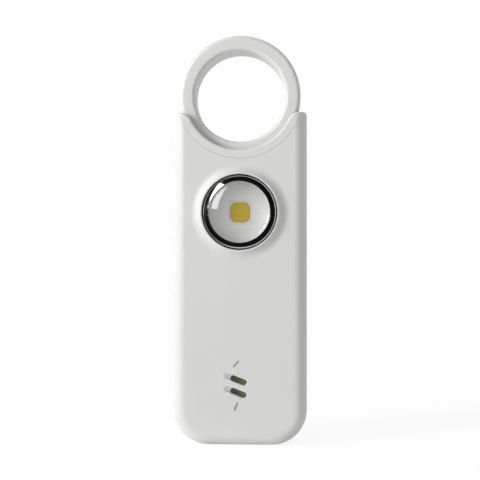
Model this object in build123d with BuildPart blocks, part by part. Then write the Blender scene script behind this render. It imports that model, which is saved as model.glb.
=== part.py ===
"""Personal safety alarm: a slim pull-ring alarm with a lamp and a siren.

Millimetres. X runs to the right as the front is seen, Y to the back and Z up.
The origin is the centre of the finger hole.
"""

import os
from math import sqrt

from build123d import *

os.makedirs("parts", exist_ok=True)

# Finger ring and its key
ring_hole = 12.0
ring_width = 3.95
ring_outer_round = 1.1
ring_inner_round = 0.9
key_width = 10.0
key_thickness = 3.6
key_length = 11.05
key_board_gap = 0.8
key_lead_in = 0.6

# Casing
wall = 1.6
edge_round = 3.2
body_corner = 9.3
horn_width = 1.65
horn_top = 4.6
horn_corner = 0.8
part_line = 0.15
tongue_height = 0.9
tongue_width = 0.7

# Clearances
hair = 0.001
fit = 0.1
seam = 0.05
ring_clearance = 0.15
overrun = 8.0

# Cradle that lines the casing's round top
lip_height = 1.65
lip_thickness = 2.05
collar_thickness = 0.5
collar_flange = 1.6
horn_inner_round = 3.0
lip_round = 0.6
sleeve_wall = 1.0
sleeve_length = 3.3

# Lamp
lamp_cradle_gap = 1.3
bezel_radius = 9.9
bezel_width = 1.9
bezel_stand = 0.6
bezel_slope_drop = 0.7
bezel_step_drop = 0.4
bezel_shoulder = 0.45
cone_lip = 0.4
cone_flare = 2.4
cone_rise = 1.2
cone_top_round = 0.25
dome_stand = 1.0
dome_height = 1.9
lens_flange_thickness = 0.7
gasket_thickness = 0.6
gasket_width = 0.9
lamp_counterbore = 1.4
lamp_ledge_width = 1.35
lamp_seat_wall = 1.2
lamp_seat_height = 1.0
reflector_rim = 0.4
reflector_foot = 1.1
reflector_foot_thickness = 1.0
led_width = 5.2
led_thickness = 1.1
led_corner = 0.4
phosphor_border = 0.35
phosphor_corner = 1.5
phosphor_depth = 0.3
phosphor_stand = 0.15

# Circuit board, its posts and its screws
board_standoff = 2.8
board_thickness = 1.0
board_side_gap = 1.2
board_post_gap = 0.4
board_sleeve_gap = 0.5
board_round = 0.8
standoff_inset = 2.6
standoff_radius = 1.9
board_screw_radius = 0.7
board_screw_length = 3.8
board_screw_head = 1.3
board_screw_head_thickness = 0.9

# Case screws
screw_inset = 5.0
boss_radius = 2.2
boss_meeting = 1.9
cover_screw_gap = 1.3
screw_radius = 0.85
screw_length = 8.0
screw_sink = 2.0
screw_head = 1.6
screw_head_thickness = 1.4
recess_width = 0.45
recess_length = 1.9
recess_depth = 0.6

# Siren
disc_radius = 13.0
disc_thickness = 0.25
ceramic_inset = 3.5
ceramic_thickness = 0.25
siren_screw_gap = 0.65
siren_margin = 1.4
siren_gasket_width = 1.1
siren_gasket_thickness = 0.4
siren_seat_height = 0.7
siren_rim = 0.7
siren_rim_height = 1.5
slot_length = 4.5
slot_width = 1.6
slot_slope = -21.0
slot_chamfer = 0.2
ramp_length = 6.4
ramp_width = 1.4
ramp_slope = 16.0
upper_slot_x = -0.25
upper_slot_rise = 1.25
lower_slot_x = -0.3
lower_slot_fall = 2.05
mark_length = 2.2
mark_width = 0.6
mark_depth = 0.4
mark_x = -0.9
upper_mark_rise = 5.6
upper_mark_slope = 50.0
lower_mark_fall = 5.5
lower_mark_slope = 66.0
lead_radius = 0.35
red_lead_x = -3.0
red_lead_rise = 6.0
black_lead_x = 5.0

# Cells, their contacts and their cover
cell_radius = 10.0
cell_thickness = 3.2
cell_round = 0.25
cell_side_gap = 0.3
holder_wall = 0.9
holder_gap = 0.3
contact_window = 5.2
contact_thickness = 0.2
negative_height = 0.5
negative_foot = 5.0
negative_top = 2.0
positive_width = 4.0
positive_thickness = 0.3
positive_foot = 1.6
cover_skirt = 0.8
cover_seat_width = 1.15
cover_flange_thickness = 0.55
cover_seal_width = 0.8
cover_seal_thickness = 0.3
lug_reach = 0.9
lug_width = 3.2
lug_thickness = 0.8
lug_count = 3
lug_angle = 90.0
cover_turn = 45.0
coin_slot_length = 13.0
coin_slot_width = 1.8
coin_slot_depth = 0.8

# Switch, transformer, capacitor and chip on the back of the board
switch_width = 7.0
switch_depth = 3.4
switch_height = 4.6
plunger_width = 3.0
plunger_depth = 1.6
plunger_length = 3.0
plunger_stand = 1.1
plunger_well = 3.3
chip_width = 3.9
chip_length = 4.9
chip_height = 1.5
chip_gap = 0.85
chip_pins = 4
pin_pitch = 1.27
pin_width = 0.4
pin_reach = 1.0
pin_thickness = 0.25
chip_stand = 0.1
row_gap = 1.75
row_battery_gap = 1.2
core_radius = 3.2
core_neck = 1.5
core_height = 5.0
core_flange = 0.8
winding_radius = 2.9
capacitor_radius = 2.5
capacitor_height = 5.4
capacitor_base = 5.3
capacitor_base_thickness = 0.8
capacitor_round = 0.3
small_part_length = 1.6
small_part_width = 0.8
small_part_height = 0.5
small_part_pitch = 1.8
small_part_gap = 1.1
small_part_rows = 2


def rise_beside(distance, across):
    """How far up or down a place lies that is across to the side and at this distance."""
    return sqrt(max(distance**2 - across**2, 0))


# From the front to the back: the casing is as deep as its stack of parts
body_depth = 2 * wall + board_standoff + board_thickness + negative_height + 2 * cell_thickness + fit
half_depth = body_depth / 2
front_inside = wall - half_depth
back_inside = half_depth - wall
board_face = front_inside + board_standoff
board_back = board_face + board_thickness
cell_front = board_back + negative_height
cover_inside = cell_front + 2 * cell_thickness + fit
cover_pocket_depth = cover_flange_thickness + cover_seal_thickness + seam
flange_front = half_depth - cover_flange_thickness
skirt_front = back_inside - fit - lug_thickness
holder_height = skirt_front - holder_gap - board_back
positive_height = skirt_front - fit - board_back
screw_seat = half_depth - screw_sink
ring_depth = body_depth - 2 * (lip_thickness + ring_clearance)
groove_half = ring_depth / 2 + ring_clearance
key_front = board_back + key_board_gap
key_middle = key_front + key_thickness / 2
switch_middle = board_back + switch_depth / 2
siren_gasket_back = front_inside + siren_seat_height + siren_gasket_thickness
disc_back = siren_gasket_back + disc_thickness
ceramic_back = disc_back + ceramic_thickness
lamp_ledge_front = lamp_counterbore - half_depth
lamp_seat_back = front_inside + lamp_seat_height
gasket_front = lamp_ledge_front - gasket_thickness
lens_flange_front = gasket_front - lens_flange_thickness
cone_front = -(half_depth + cone_rise)
bezel_front = cone_front - bezel_stand
bezel_slope_foot = bezel_front + bezel_slope_drop
bezel_step_foot = bezel_slope_foot + bezel_step_drop

# Radii about the ring's centre, and the casing's width outside them
ring_radius = ring_hole + ring_width
groove_radius = ring_radius + ring_clearance
lip_radius = ring_radius - lip_height
collar_radius = groove_radius + collar_thickness
collar_flange_radius = groove_radius + collar_flange
cradle_radius = collar_radius + seam
body_width = 2 * (ring_radius + horn_width)
board_width = body_width - 2 * (wall + board_side_gap)
screw_spread = body_width - 2 * (wall + screw_inset)
standoff_spread = board_width - 2 * standoff_inset
board_neck_width = screw_spread - 2 * (boss_radius + board_post_gap)

# Radii of the cell cover and of the lamp, which both stay on the casing's flats
cover_plug = cell_radius + cell_side_gap + cover_skirt
cover_hole = cover_plug + ring_clearance
cover_radius = cover_hole + cover_seat_width
lug_radius = cover_plug + lug_reach
holder_radius = cell_radius + fit + holder_wall
bezel_hole = bezel_radius + seam
cone_top = bezel_hole + cone_lip
cone_foot = cone_top + cone_flare
bezel_opening = bezel_radius - bezel_width
bezel_step_radius = bezel_radius - bezel_shoulder
lens_barrel = bezel_opening - fit
lens_flange_radius = bezel_radius - 2 * ring_clearance
lamp_ledge_hole = bezel_hole - lamp_ledge_width
reflector_radius = lamp_ledge_hole - fit
dish_floor = led_width / sqrt(2) + seam
phosphor_width = led_width - 2 * phosphor_border
flat_radius = max(cover_radius + 2 * fit, cone_foot + fit)
edge_radius = min(edge_round, body_width / 2 - flat_radius)

# Radii of the siren disc's own parts
ceramic_radius = disc_radius - ceramic_inset
siren_gasket_inside = disc_radius - siren_gasket_width
black_lead_radius = siren_gasket_inside - lead_radius - fit

# The dome's crown
lens_shoulder = half_depth + dome_stand
dome_front = -(lens_shoulder + dome_height)
dome_radius = (lens_barrel**2 + dome_height**2) / (2 * dome_height)
dome_centre = dome_front + dome_radius
half_barrel = lens_barrel / 2
reflector_front = gasket_front + fit

# From the ring down: each piece follows the one above it
lamp_drop = cradle_radius + lamp_cradle_gap + cone_foot
screw_upper = lamp_drop - rise_beside(bezel_hole + lamp_seat_wall + boss_radius, screw_spread / 2)
sleeve_bottom = collar_flange_radius + sleeve_length
board_top = sleeve_bottom + board_sleeve_gap
board_shoulder = screw_upper + boss_radius + board_post_gap
key_reach = ring_radius + key_length
plunger_top = -(key_reach + fit)
switch_top = key_reach + fit + plunger_stand
row_drop = switch_top + switch_height + chip_gap + pin_reach + chip_width / 2
transformer_x = -(chip_length / 2 + row_gap + core_radius)
capacitor_x = (chip_length + capacitor_base) / 2 + row_gap
standoff_upper = row_drop + core_radius + board_post_gap + board_screw_head
battery_drop = row_drop + core_radius + row_battery_gap + holder_radius
screw_lower = battery_drop + rise_beside(
    cover_radius + boss_radius + cover_screw_gap, screw_spread / 2
)
board_bottom = screw_lower - boss_radius - board_post_gap
standoff_lower = board_bottom - standoff_inset
siren_drop = screw_lower + rise_beside(
    disc_radius + fit + siren_rim + siren_screw_gap + boss_radius, screw_spread / 2
)
body_bottom = siren_drop + disc_radius + siren_margin + wall

# Places in the front view
lamp_z = -lamp_drop
battery_z = -battery_drop
siren_z = -siren_drop
lamp_centre = (0, lamp_z)
battery_centre = (0, battery_z)
siren_centre = (0, siren_z)
transformer_centre = (transformer_x, -row_drop)
capacitor_centre = (capacitor_x, -row_drop)
lamp_axis = Axis((0, 0, lamp_z), (0, 1, 0))
battery_axis = Axis((0, 0, battery_z), (0, 1, 0))
upper_slot_place = (upper_slot_x, siren_z + upper_slot_rise)
lower_slot_place = (lower_slot_x, siren_z - lower_slot_fall)
upper_mark_place = (mark_x, siren_z + upper_mark_rise)
lower_mark_place = (mark_x, siren_z - lower_mark_fall)
red_lead_place = (red_lead_x, siren_z + red_lead_rise)
black_lead_place = (black_lead_x, siren_z + rise_beside(black_lead_radius, black_lead_x))
case_screw_places = [
    (side * screw_spread / 2, -drop) for side in (-1, 1) for drop in (screw_upper, screw_lower)
]
board_screw_places = [(side * standoff_spread / 2, -standoff_upper) for side in (-1, 1)]
standoff_places = [
    (side * standoff_spread / 2, -drop)
    for side in (-1, 1)
    for drop in (standoff_upper, standoff_lower)
]


def at_depth(y):
    """The upright plane at depth y, seen from the front: an extrusion runs forwards."""
    return Plane.XZ.offset(-y)


def circles(part, radius):
    """The part's round edges of one radius."""
    round_edges = part.edges().filter_by(GeomType.CIRCLE)
    return round_edges.filter_by(lambda edge: abs(edge.radius - radius) < hair)


def body_outline(inset):
    """The casing's outline from the front, drawn in by inset and left open above the horns."""
    height = body_bottom - inset + overrun
    with BuildSketch(Plane.XZ) as outline:
        with Locations((0, overrun - height / 2)):
            Rectangle(body_width - 2 * inset, height)
        fillet(outline.vertices().group_by(Axis.Y)[0], body_corner - inset)
    return outline.sketch


def rounded_slab(inset):
    """The casing's rounded form, drawn in all round by inset."""
    outline = body_outline(inset)
    with BuildPart() as slab:
        extrude(outline, amount=half_depth - inset, both=True)
        faces = slab.faces().sort_by(Axis.Y)
        rims = faces[0].edges().sort_by(Axis.Z)[:-1] + faces[-1].edges().sort_by(Axis.Z)[:-1]
        fillet(rims, max(edge_radius - inset, fit))
    return slab.part


outer_slab = rounded_slab(0)
cavity_slab = rounded_slab(wall)
flange_slab = rounded_slab(wall + fit)
tongue_outline = body_outline(wall - tongue_width)
rebate_outline = body_outline(wall - tongue_width - fit)

# Everything below the horns' tops, with their outer corners rounded
with BuildPart() as below_horns:
    with BuildSketch(Plane.XZ) as horn_trim:
        with Locations((0, -(horn_top + body_bottom) / 2)):
            Rectangle(body_width, body_bottom - horn_top)
        fillet(horn_trim.vertices().group_by(Axis.Y)[-1], horn_corner)
    extrude(amount=body_depth, both=True)


# Front half of the casing
with BuildPart() as front_shell:
    add(outer_slab)
    split(bisect_by=Plane.XZ, keep=Keep.TOP)
    parting_edges = front_shell.faces().sort_by(Axis.Y)[-1].edges().sort_by(Axis.Z)[:-1]
    chamfer(parting_edges, length=part_line)
    with BuildSketch(Plane.XY.offset(lamp_z)):
        with BuildLine():
            TangentArc((cone_foot, -half_depth), (cone_top, cone_front), tangent=(-1, 0))
            Polyline(
                (cone_top, cone_front),
                (0, cone_front),
                (0, -half_depth + wall / 2),
                (cone_foot, -half_depth + wall / 2),
                (cone_foot, -half_depth),
            )
        make_face()
    revolve(axis=lamp_axis)
    fillet(circles(front_shell, cone_top), cone_top_round)

    # Tongue that keys the two halves together, then the hollow and the horns' tops
    extrude(tongue_outline, amount=-tongue_height)
    add(cavity_slab, mode=Mode.SUBTRACT)
    add(below_horns.part, mode=Mode.INTERSECT)

    # Posts for the case screws and the board
    with BuildSketch(at_depth(boss_meeting)):
        with Locations(*case_screw_places):
            Circle(boss_radius)
    extrude(amount=boss_meeting - front_inside)
    with BuildSketch(at_depth(board_face)):
        with Locations(*standoff_places):
            Circle(standoff_radius)
    extrude(amount=board_face - front_inside)
    with BuildSketch(at_depth(boss_meeting)):
        with Locations(*case_screw_places):
            Circle(screw_radius + seam)
    extrude(amount=screw_length + fit - (screw_seat - boss_meeting), mode=Mode.SUBTRACT)
    with BuildSketch(at_depth(board_face)):
        with Locations(*board_screw_places):
            Circle(board_screw_radius + seam)
    extrude(amount=board_screw_length - board_thickness + fit, mode=Mode.SUBTRACT)

    # Seat of the lamp
    with BuildSketch(at_depth(lamp_seat_back)):
        with Locations(lamp_centre):
            Circle(bezel_hole + lamp_seat_wall)
    extrude(amount=lamp_seat_height)
    with BuildSketch(at_depth(lamp_ledge_front)):
        with Locations(lamp_centre):
            Circle(bezel_hole)
    extrude(amount=overrun, mode=Mode.SUBTRACT)
    with BuildSketch(at_depth(lamp_seat_back)):
        with Locations(lamp_centre):
            Circle(lamp_ledge_hole)
    extrude(amount=overrun, mode=Mode.SUBTRACT)

    # Seat and rim of the siren disc, with the slots in front of it
    with BuildSketch(at_depth(front_inside + siren_rim_height)):
        with Locations(siren_centre):
            Circle(disc_radius + fit + siren_rim)
    extrude(amount=siren_rim_height)
    with BuildSketch(at_depth(front_inside + siren_rim_height)):
        with Locations(siren_centre):
            Circle(disc_radius + fit)
    extrude(amount=siren_rim_height - siren_seat_height, mode=Mode.SUBTRACT)
    with BuildSketch(at_depth(front_inside + siren_seat_height)):
        with Locations(siren_centre):
            Circle(siren_gasket_inside)
    extrude(amount=siren_seat_height, mode=Mode.SUBTRACT)
    with BuildSketch(at_depth(front_inside)):
        with Locations(upper_slot_place, lower_slot_place):
            SlotOverall(slot_length, slot_width, rotation=slot_slope)
    extrude(amount=wall, mode=Mode.SUBTRACT)
    with BuildSketch(at_depth(-half_depth)):
        with Locations(upper_slot_place, lower_slot_place):
            SlotOverall(slot_length + 2 * slot_chamfer, slot_width + 2 * slot_chamfer, rotation=slot_slope)
    extrude(amount=-slot_chamfer, taper=45, mode=Mode.SUBTRACT)
    for place in (upper_slot_place, lower_slot_place):
        slot_plane = at_depth(-half_depth) * Location((*place, 0), (0, 0, slot_slope))
        ramp_plane = slot_plane * Location((slot_length / 2 - ramp_length, 0, 0), (0, ramp_slope, 0))
        with BuildSketch(ramp_plane):
            with Locations((ramp_length / 2, 0)):
                SlotOverall(ramp_length, ramp_width)
        extrude(amount=wall, mode=Mode.SUBTRACT)
    with BuildSketch(at_depth(-half_depth)):
        with Locations(upper_mark_place):
            SlotOverall(mark_length, mark_width, rotation=upper_mark_slope)
        with Locations(lower_mark_place):
            SlotOverall(mark_length, mark_width, rotation=lower_mark_slope)
    extrude(amount=-mark_depth, mode=Mode.SUBTRACT)

    # Round top that takes the cradle
    with BuildSketch(Plane.XZ):
        Circle(cradle_radius)
    extrude(amount=body_depth, both=True, mode=Mode.SUBTRACT)
front_shell.part.label = "front_shell"
export_step(front_shell.part, "parts/front_shell.step")


# Rear half of the casing, with the cell cover's opening
with BuildPart() as rear_shell:
    add(outer_slab)
    split(bisect_by=Plane.XZ, keep=Keep.BOTTOM)
    parting_edges = rear_shell.faces().sort_by(Axis.Y)[0].edges().sort_by(Axis.Z)[:-1]
    chamfer(parting_edges, length=part_line)
    add(below_horns.part, mode=Mode.INTERSECT)
    add(cavity_slab, mode=Mode.SUBTRACT)
    extrude(rebate_outline, amount=-(tongue_height + fit), mode=Mode.SUBTRACT)
    with BuildSketch(at_depth(back_inside)):
        with Locations(*case_screw_places):
            Circle(boss_radius)
    extrude(amount=back_inside - boss_meeting - fit)
    with BuildSketch(at_depth(half_depth)):
        with Locations(*case_screw_places):
            Circle(screw_head + fit)
    extrude(amount=half_depth - screw_seat, mode=Mode.SUBTRACT)
    with BuildSketch(at_depth(half_depth)):
        with Locations(*case_screw_places):
            Circle(screw_radius + fit)
    extrude(amount=body_depth, mode=Mode.SUBTRACT)

    # Stepped opening with its three notches
    with BuildSketch(at_depth(half_depth)):
        with Locations(battery_centre):
            Circle(cover_radius + fit)
    extrude(amount=cover_pocket_depth, mode=Mode.SUBTRACT)
    with BuildSketch(at_depth(half_depth)):
        with Locations(battery_centre):
            Circle(cover_hole)
    extrude(amount=half_depth - screw_seat, mode=Mode.SUBTRACT)
    with BuildSketch(at_depth(half_depth)) as notches:
        with Locations(battery_centre):
            with PolarLocations(lug_radius / 2, lug_count, start_angle=lug_angle - cover_turn):
                Rectangle(lug_radius + 2 * fit, lug_width + 2 * fit)
    extrude(amount=half_depth - screw_seat, mode=Mode.SUBTRACT)
    with BuildSketch(Plane.XZ):
        Circle(cradle_radius)
    extrude(amount=body_depth, both=True, mode=Mode.SUBTRACT)
rear_shell.part.label = "rear_shell"
export_step(rear_shell.part, "parts/rear_shell.step")


# Flange of the cradle, held between the two halves of the casing
with BuildPart() as collar_web:
    add(flange_slab)
    add(below_horns.part, mode=Mode.INTERSECT)
    with BuildSketch(Plane.XZ):
        Circle(collar_flange_radius)
        Circle(groove_radius, mode=Mode.SUBTRACT)
    extrude(amount=body_depth, both=True, mode=Mode.INTERSECT)

# Cradle: a lip at the front and at the back, a groove for the ring and a sleeve for its key
with BuildPart() as cradle_collar:
    with BuildSketch(Plane.XZ) as lip_outline:
        Circle(collar_radius)
        Circle(lip_radius, mode=Mode.SUBTRACT)
        with Locations((0, -horn_top)):
            Rectangle(
                2 * cradle_radius, 2 * cradle_radius, align=(Align.CENTER, Align.MIN), mode=Mode.SUBTRACT
            )
        tops = lip_outline.vertices().group_by(Axis.Y)[-1].sort_by(Axis.X)
        fillet(tops[1:-1], horn_inner_round)
    extrude(amount=half_depth, both=True)
    faces = cradle_collar.faces().sort_by(Axis.Y)
    lip_edges = faces[0].edges() + faces[-1].edges()
    fillet(lip_edges.filter_by(lambda edge: edge not in circles(cradle_collar, collar_radius)), lip_round)
    add(outer_slab, mode=Mode.INTERSECT)
    with BuildSketch(Plane.XZ):
        Circle(groove_radius)
    extrude(amount=groove_half, both=True, mode=Mode.SUBTRACT)
    add(collar_web.part)
    with BuildSketch(Plane.XY.offset(-sleeve_bottom)):
        with Locations((0, key_middle)):
            Rectangle(
                key_width + 2 * (ring_clearance + sleeve_wall),
                key_thickness + 2 * (ring_clearance + sleeve_wall),
            )
    extrude(amount=sleeve_bottom - groove_radius - collar_thickness / 2)
    with BuildSketch(Plane.XY.offset(-key_reach)):
        with Locations((0, key_middle)):
            Rectangle(key_width + 2 * ring_clearance, key_thickness + 2 * ring_clearance)
    extrude(amount=key_reach - ring_hole, mode=Mode.SUBTRACT)
cradle_collar.part.label = "cradle_collar"
export_step(cradle_collar.part, "parts/cradle_collar.step")


# Finger ring with the flat key that holds the switch down
with BuildPart() as pull_ring:
    with BuildSketch(Plane.XZ):
        Circle(ring_radius)
        Circle(ring_hole, mode=Mode.SUBTRACT)
    extrude(amount=ring_depth / 2, both=True)
    fillet(circles(pull_ring, ring_radius), ring_outer_round)
    fillet(circles(pull_ring, ring_hole), ring_inner_round)
    with BuildSketch(Plane.XY.offset(-key_reach)):
        with Locations((0, key_middle)):
            Rectangle(key_width, key_thickness)
    extrude(amount=key_reach - ring_hole - ring_width / 2)
    chamfer(pull_ring.faces().sort_by(Axis.Z)[0].edges(), length=key_lead_in)
pull_ring.part.label = "pull_ring"
export_step(pull_ring.part, "parts/pull_ring.step")


# Chrome ring round the lamp: a sloped band, a step and a low shoulder
with BuildPart() as lamp_bezel:
    with BuildSketch(Plane.XY.offset(lamp_z)):
        with BuildLine():
            Polyline(
                (bezel_opening, lens_flange_front),
                (bezel_opening, bezel_front),
                (bezel_step_radius, bezel_slope_foot),
                (bezel_step_radius, bezel_step_foot),
                (bezel_radius, bezel_step_foot),
                (bezel_radius, lens_flange_front),
                close=True,
            )
        make_face()
    revolve(axis=lamp_axis)
lamp_bezel.part.label = "lamp_bezel"
export_step(lamp_bezel.part, "parts/lamp_bezel.step")


# Clear solid lens: a domed front, a short barrel and a flange
with BuildPart() as lamp_lens:
    with BuildSketch(Plane.XY.offset(lamp_z)):
        with BuildLine():
            ThreePointArc(
                (0, dome_front),
                (half_barrel, dome_centre - rise_beside(dome_radius, half_barrel)),
                (lens_barrel, -lens_shoulder),
            )
            Polyline(
                (lens_barrel, -lens_shoulder),
                (lens_barrel, lens_flange_front),
                (lens_flange_radius, lens_flange_front),
                (lens_flange_radius, gasket_front),
                (0, gasket_front),
                (0, dome_front),
            )
        make_face()
    revolve(axis=lamp_axis)
lamp_lens.part.label = "lamp_lens"
export_step(lamp_lens.part, "parts/lamp_lens.step")


# Seal under the dome's flange
with BuildPart() as lens_gasket:
    with BuildSketch(at_depth(lamp_ledge_front)):
        with Locations(lamp_centre):
            Circle(lens_flange_radius)
            Circle(lens_flange_radius - gasket_width, mode=Mode.SUBTRACT)
    extrude(amount=gasket_thickness)
lens_gasket.part.label = "lens_gasket"
export_step(lens_gasket.part, "parts/lens_gasket.step")


# White dish between the board and the dome
with BuildPart() as lamp_reflector:
    with BuildSketch(Plane.XY.offset(lamp_z)):
        with BuildLine():
            Polyline(
                (dish_floor, board_face - led_thickness),
                (0, board_face - led_thickness),
                (0, board_face),
                (reflector_radius + reflector_foot, board_face),
                (reflector_radius + reflector_foot, board_face - reflector_foot_thickness),
                (reflector_radius, board_face - reflector_foot_thickness),
                (reflector_radius, reflector_front),
                (reflector_radius - reflector_rim, reflector_front),
            )
            TangentArc(
                (dish_floor, board_face - led_thickness),
                (reflector_radius - reflector_rim, reflector_front),
                tangent=(1, 0),
            )
        make_face()
    revolve(axis=lamp_axis)
    with BuildSketch(at_depth(board_face)):
        with Locations(lamp_centre):
            RectangleRounded(led_width + 2 * seam, led_width + 2 * seam, led_corner + seam)
    extrude(amount=led_thickness, mode=Mode.SUBTRACT)
lamp_reflector.part.label = "lamp_reflector"
export_step(lamp_reflector.part, "parts/lamp_reflector.step")


# LED: white housing and the yellow face that fills its recess
with BuildPart() as led_package:
    with BuildSketch(at_depth(board_face)):
        with Locations(lamp_centre):
            RectangleRounded(led_width, led_width, led_corner)
    extrude(amount=led_thickness)
    with BuildSketch(at_depth(board_face - led_thickness + phosphor_depth)):
        with Locations(lamp_centre):
            RectangleRounded(phosphor_width, phosphor_width, phosphor_corner)
    extrude(amount=overrun, mode=Mode.SUBTRACT)
led_package.part.label = "led_package"
export_step(led_package.part, "parts/led_package.step")

with BuildPart() as led_phosphor:
    with BuildSketch(at_depth(board_face - led_thickness + phosphor_depth)):
        with Locations(lamp_centre):
            RectangleRounded(phosphor_width - fit, phosphor_width - fit, phosphor_corner)
    extrude(amount=phosphor_depth + phosphor_stand)
    fillet(led_phosphor.faces().sort_by(Axis.Y)[0].edges(), phosphor_stand)
led_phosphor.part.label = "led_phosphor"
export_step(led_phosphor.part, "parts/led_phosphor.step")


# Circuit board
with BuildPart() as main_board:
    with BuildSketch(at_depth(board_back)) as board_outline:
        with Locations((0, -(board_top + board_bottom) / 2)):
            Rectangle(board_neck_width, board_bottom - board_top)
        with Locations((0, -(board_shoulder + board_bottom) / 2)):
            Rectangle(board_width, board_bottom - board_shoulder)
        fillet(board_outline.vertices(), board_round)
        with Locations(*board_screw_places):
            Circle(board_screw_radius + fit, mode=Mode.SUBTRACT)
    extrude(amount=board_thickness)
main_board.part.label = "main_board"
export_step(main_board.part, "parts/main_board.step")


# Seal that carries the siren disc, and the disc with its ceramic
with BuildPart() as siren_gasket:
    with BuildSketch(at_depth(siren_gasket_back)):
        with Locations(siren_centre):
            Circle(disc_radius)
            Circle(siren_gasket_inside, mode=Mode.SUBTRACT)
    extrude(amount=siren_gasket_thickness)
siren_gasket.part.label = "siren_gasket"
export_step(siren_gasket.part, "parts/siren_gasket.step")

with BuildPart() as siren_disc:
    with BuildSketch(at_depth(disc_back)):
        with Locations(siren_centre):
            Circle(disc_radius)
    extrude(amount=disc_thickness)
siren_disc.part.label = "siren_disc"
export_step(siren_disc.part, "parts/siren_disc.step")

with BuildPart() as siren_ceramic:
    with BuildSketch(at_depth(ceramic_back)):
        with Locations(siren_centre):
            Circle(ceramic_radius)
    extrude(amount=ceramic_thickness)
siren_ceramic.part.label = "siren_ceramic"
export_step(siren_ceramic.part, "parts/siren_ceramic.step")


def siren_lead(place, start):
    """A wire from the disc straight back, then up to the lower edge of the board."""
    x, solder_z = place
    turn_y = (board_face + board_back) / 2
    bend = (turn_y - start) / 2
    with BuildPart() as lead:
        with BuildLine() as route:
            FilletPolyline(
                (x, start, solder_z),
                (x, turn_y, solder_z),
                (x, turn_y, -board_bottom),
                radius=bend,
            )
        with BuildSketch(Plane.XZ.offset(-start)):
            with Locations(place):
                Circle(lead_radius)
        sweep(path=route.wires()[0])
    return lead.part


siren_lead_red = siren_lead(red_lead_place, ceramic_back)
siren_lead_red.label = "siren_lead_red"
export_step(siren_lead_red, "parts/siren_lead_red.step")

siren_lead_black = siren_lead(black_lead_place, disc_back)
siren_lead_black.label = "siren_lead_black"
export_step(siren_lead_black, "parts/siren_lead_black.step")


# Round well for the cells, with a window for the side contact
with BuildPart() as battery_holder:
    with BuildSketch(at_depth(board_back + holder_height)):
        with Locations(battery_centre):
            Circle(holder_radius)
            Circle(cell_radius + fit, mode=Mode.SUBTRACT)
        with Locations((cell_radius + fit, battery_z)):
            Rectangle(2 * holder_wall + 2 * fit, contact_window, mode=Mode.SUBTRACT)
    extrude(amount=holder_height)
battery_holder.part.label = "battery_holder"
export_step(battery_holder.part, "parts/battery_holder.step")


def coin_cell(front):
    """One coin cell whose front face lies at the given depth."""
    with BuildPart() as cell:
        with BuildSketch(at_depth(front + cell_thickness)):
            with Locations(battery_centre):
                Circle(cell_radius)
        extrude(amount=cell_thickness)
        fillet(cell.edges().filter_by(GeomType.CIRCLE), cell_round)
    return cell.part


coin_cell_front = coin_cell(cell_front)
coin_cell_front.label = "coin_cell_front"
export_step(coin_cell_front, "parts/coin_cell_front.step")

coin_cell_rear = coin_cell(cell_front + cell_thickness)
coin_cell_rear.label = "coin_cell_rear"
export_step(coin_cell_rear, "parts/coin_cell_rear.step")


# Sprung contacts of the cells
with BuildPart() as negative_contact:
    with BuildSketch(Plane.XY.offset(battery_z)):
        with BuildLine():
            Polyline(
                (negative_top, cell_front - contact_thickness),
                (negative_foot, board_back),
                (negative_foot, board_back + contact_thickness),
                (negative_top, cell_front),
                close=True,
            )
        make_face()
    revolve(axis=battery_axis)
negative_contact.part.label = "negative_contact"
export_step(negative_contact.part, "parts/negative_contact.step")

positive_inside = cell_radius + seam
with BuildPart() as positive_contact:
    with BuildSketch(Plane.XY.offset(battery_z)):
        with BuildLine():
            Polyline(
                (positive_inside, board_back),
                (positive_inside + positive_thickness + positive_foot, board_back),
                (positive_inside + positive_thickness + positive_foot, board_back + positive_thickness),
                (positive_inside + positive_thickness, board_back + positive_thickness),
                (positive_inside + positive_thickness, board_back + positive_height),
                (positive_inside, board_back + positive_height),
                close=True,
            )
        make_face()
    extrude(amount=positive_width / 2, both=True)
positive_contact.part.label = "positive_contact"
export_step(positive_contact.part, "parts/positive_contact.step")


# Round cover of the cells, turned with a coin, and its seal
with BuildPart() as battery_cover:
    with BuildSketch(at_depth(half_depth)):
        with Locations(battery_centre):
            Circle(cover_radius)
    extrude(amount=cover_flange_thickness)
    with BuildSketch(at_depth(flange_front)):
        with Locations(battery_centre):
            Circle(cover_plug)
    extrude(amount=flange_front - skirt_front)
    with BuildSketch(at_depth(back_inside - fit)):
        with Locations(battery_centre):
            with PolarLocations(lug_radius / 2, lug_count, start_angle=lug_angle):
                Rectangle(lug_radius, lug_width)
    extrude(amount=lug_thickness)
    with BuildSketch(at_depth(cover_inside)):
        with Locations(battery_centre):
            Circle(cover_plug - cover_skirt)
    extrude(amount=overrun, mode=Mode.SUBTRACT)
    with BuildSketch(at_depth(half_depth)):
        with Locations(battery_centre):
            SlotOverall(coin_slot_length, coin_slot_width)
    extrude(amount=coin_slot_depth, mode=Mode.SUBTRACT)
battery_cover.part.label = "battery_cover"
export_step(battery_cover.part, "parts/battery_cover.step")

with BuildPart() as battery_cover_seal:
    with BuildSketch(at_depth(flange_front)):
        with Locations(battery_centre):
            Circle(cover_hole + cover_seal_width)
            Circle(cover_plug + seam, mode=Mode.SUBTRACT)
    extrude(amount=cover_seal_thickness)
battery_cover_seal.part.label = "battery_cover_seal"
export_step(battery_cover_seal.part, "parts/battery_cover_seal.step")


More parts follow.
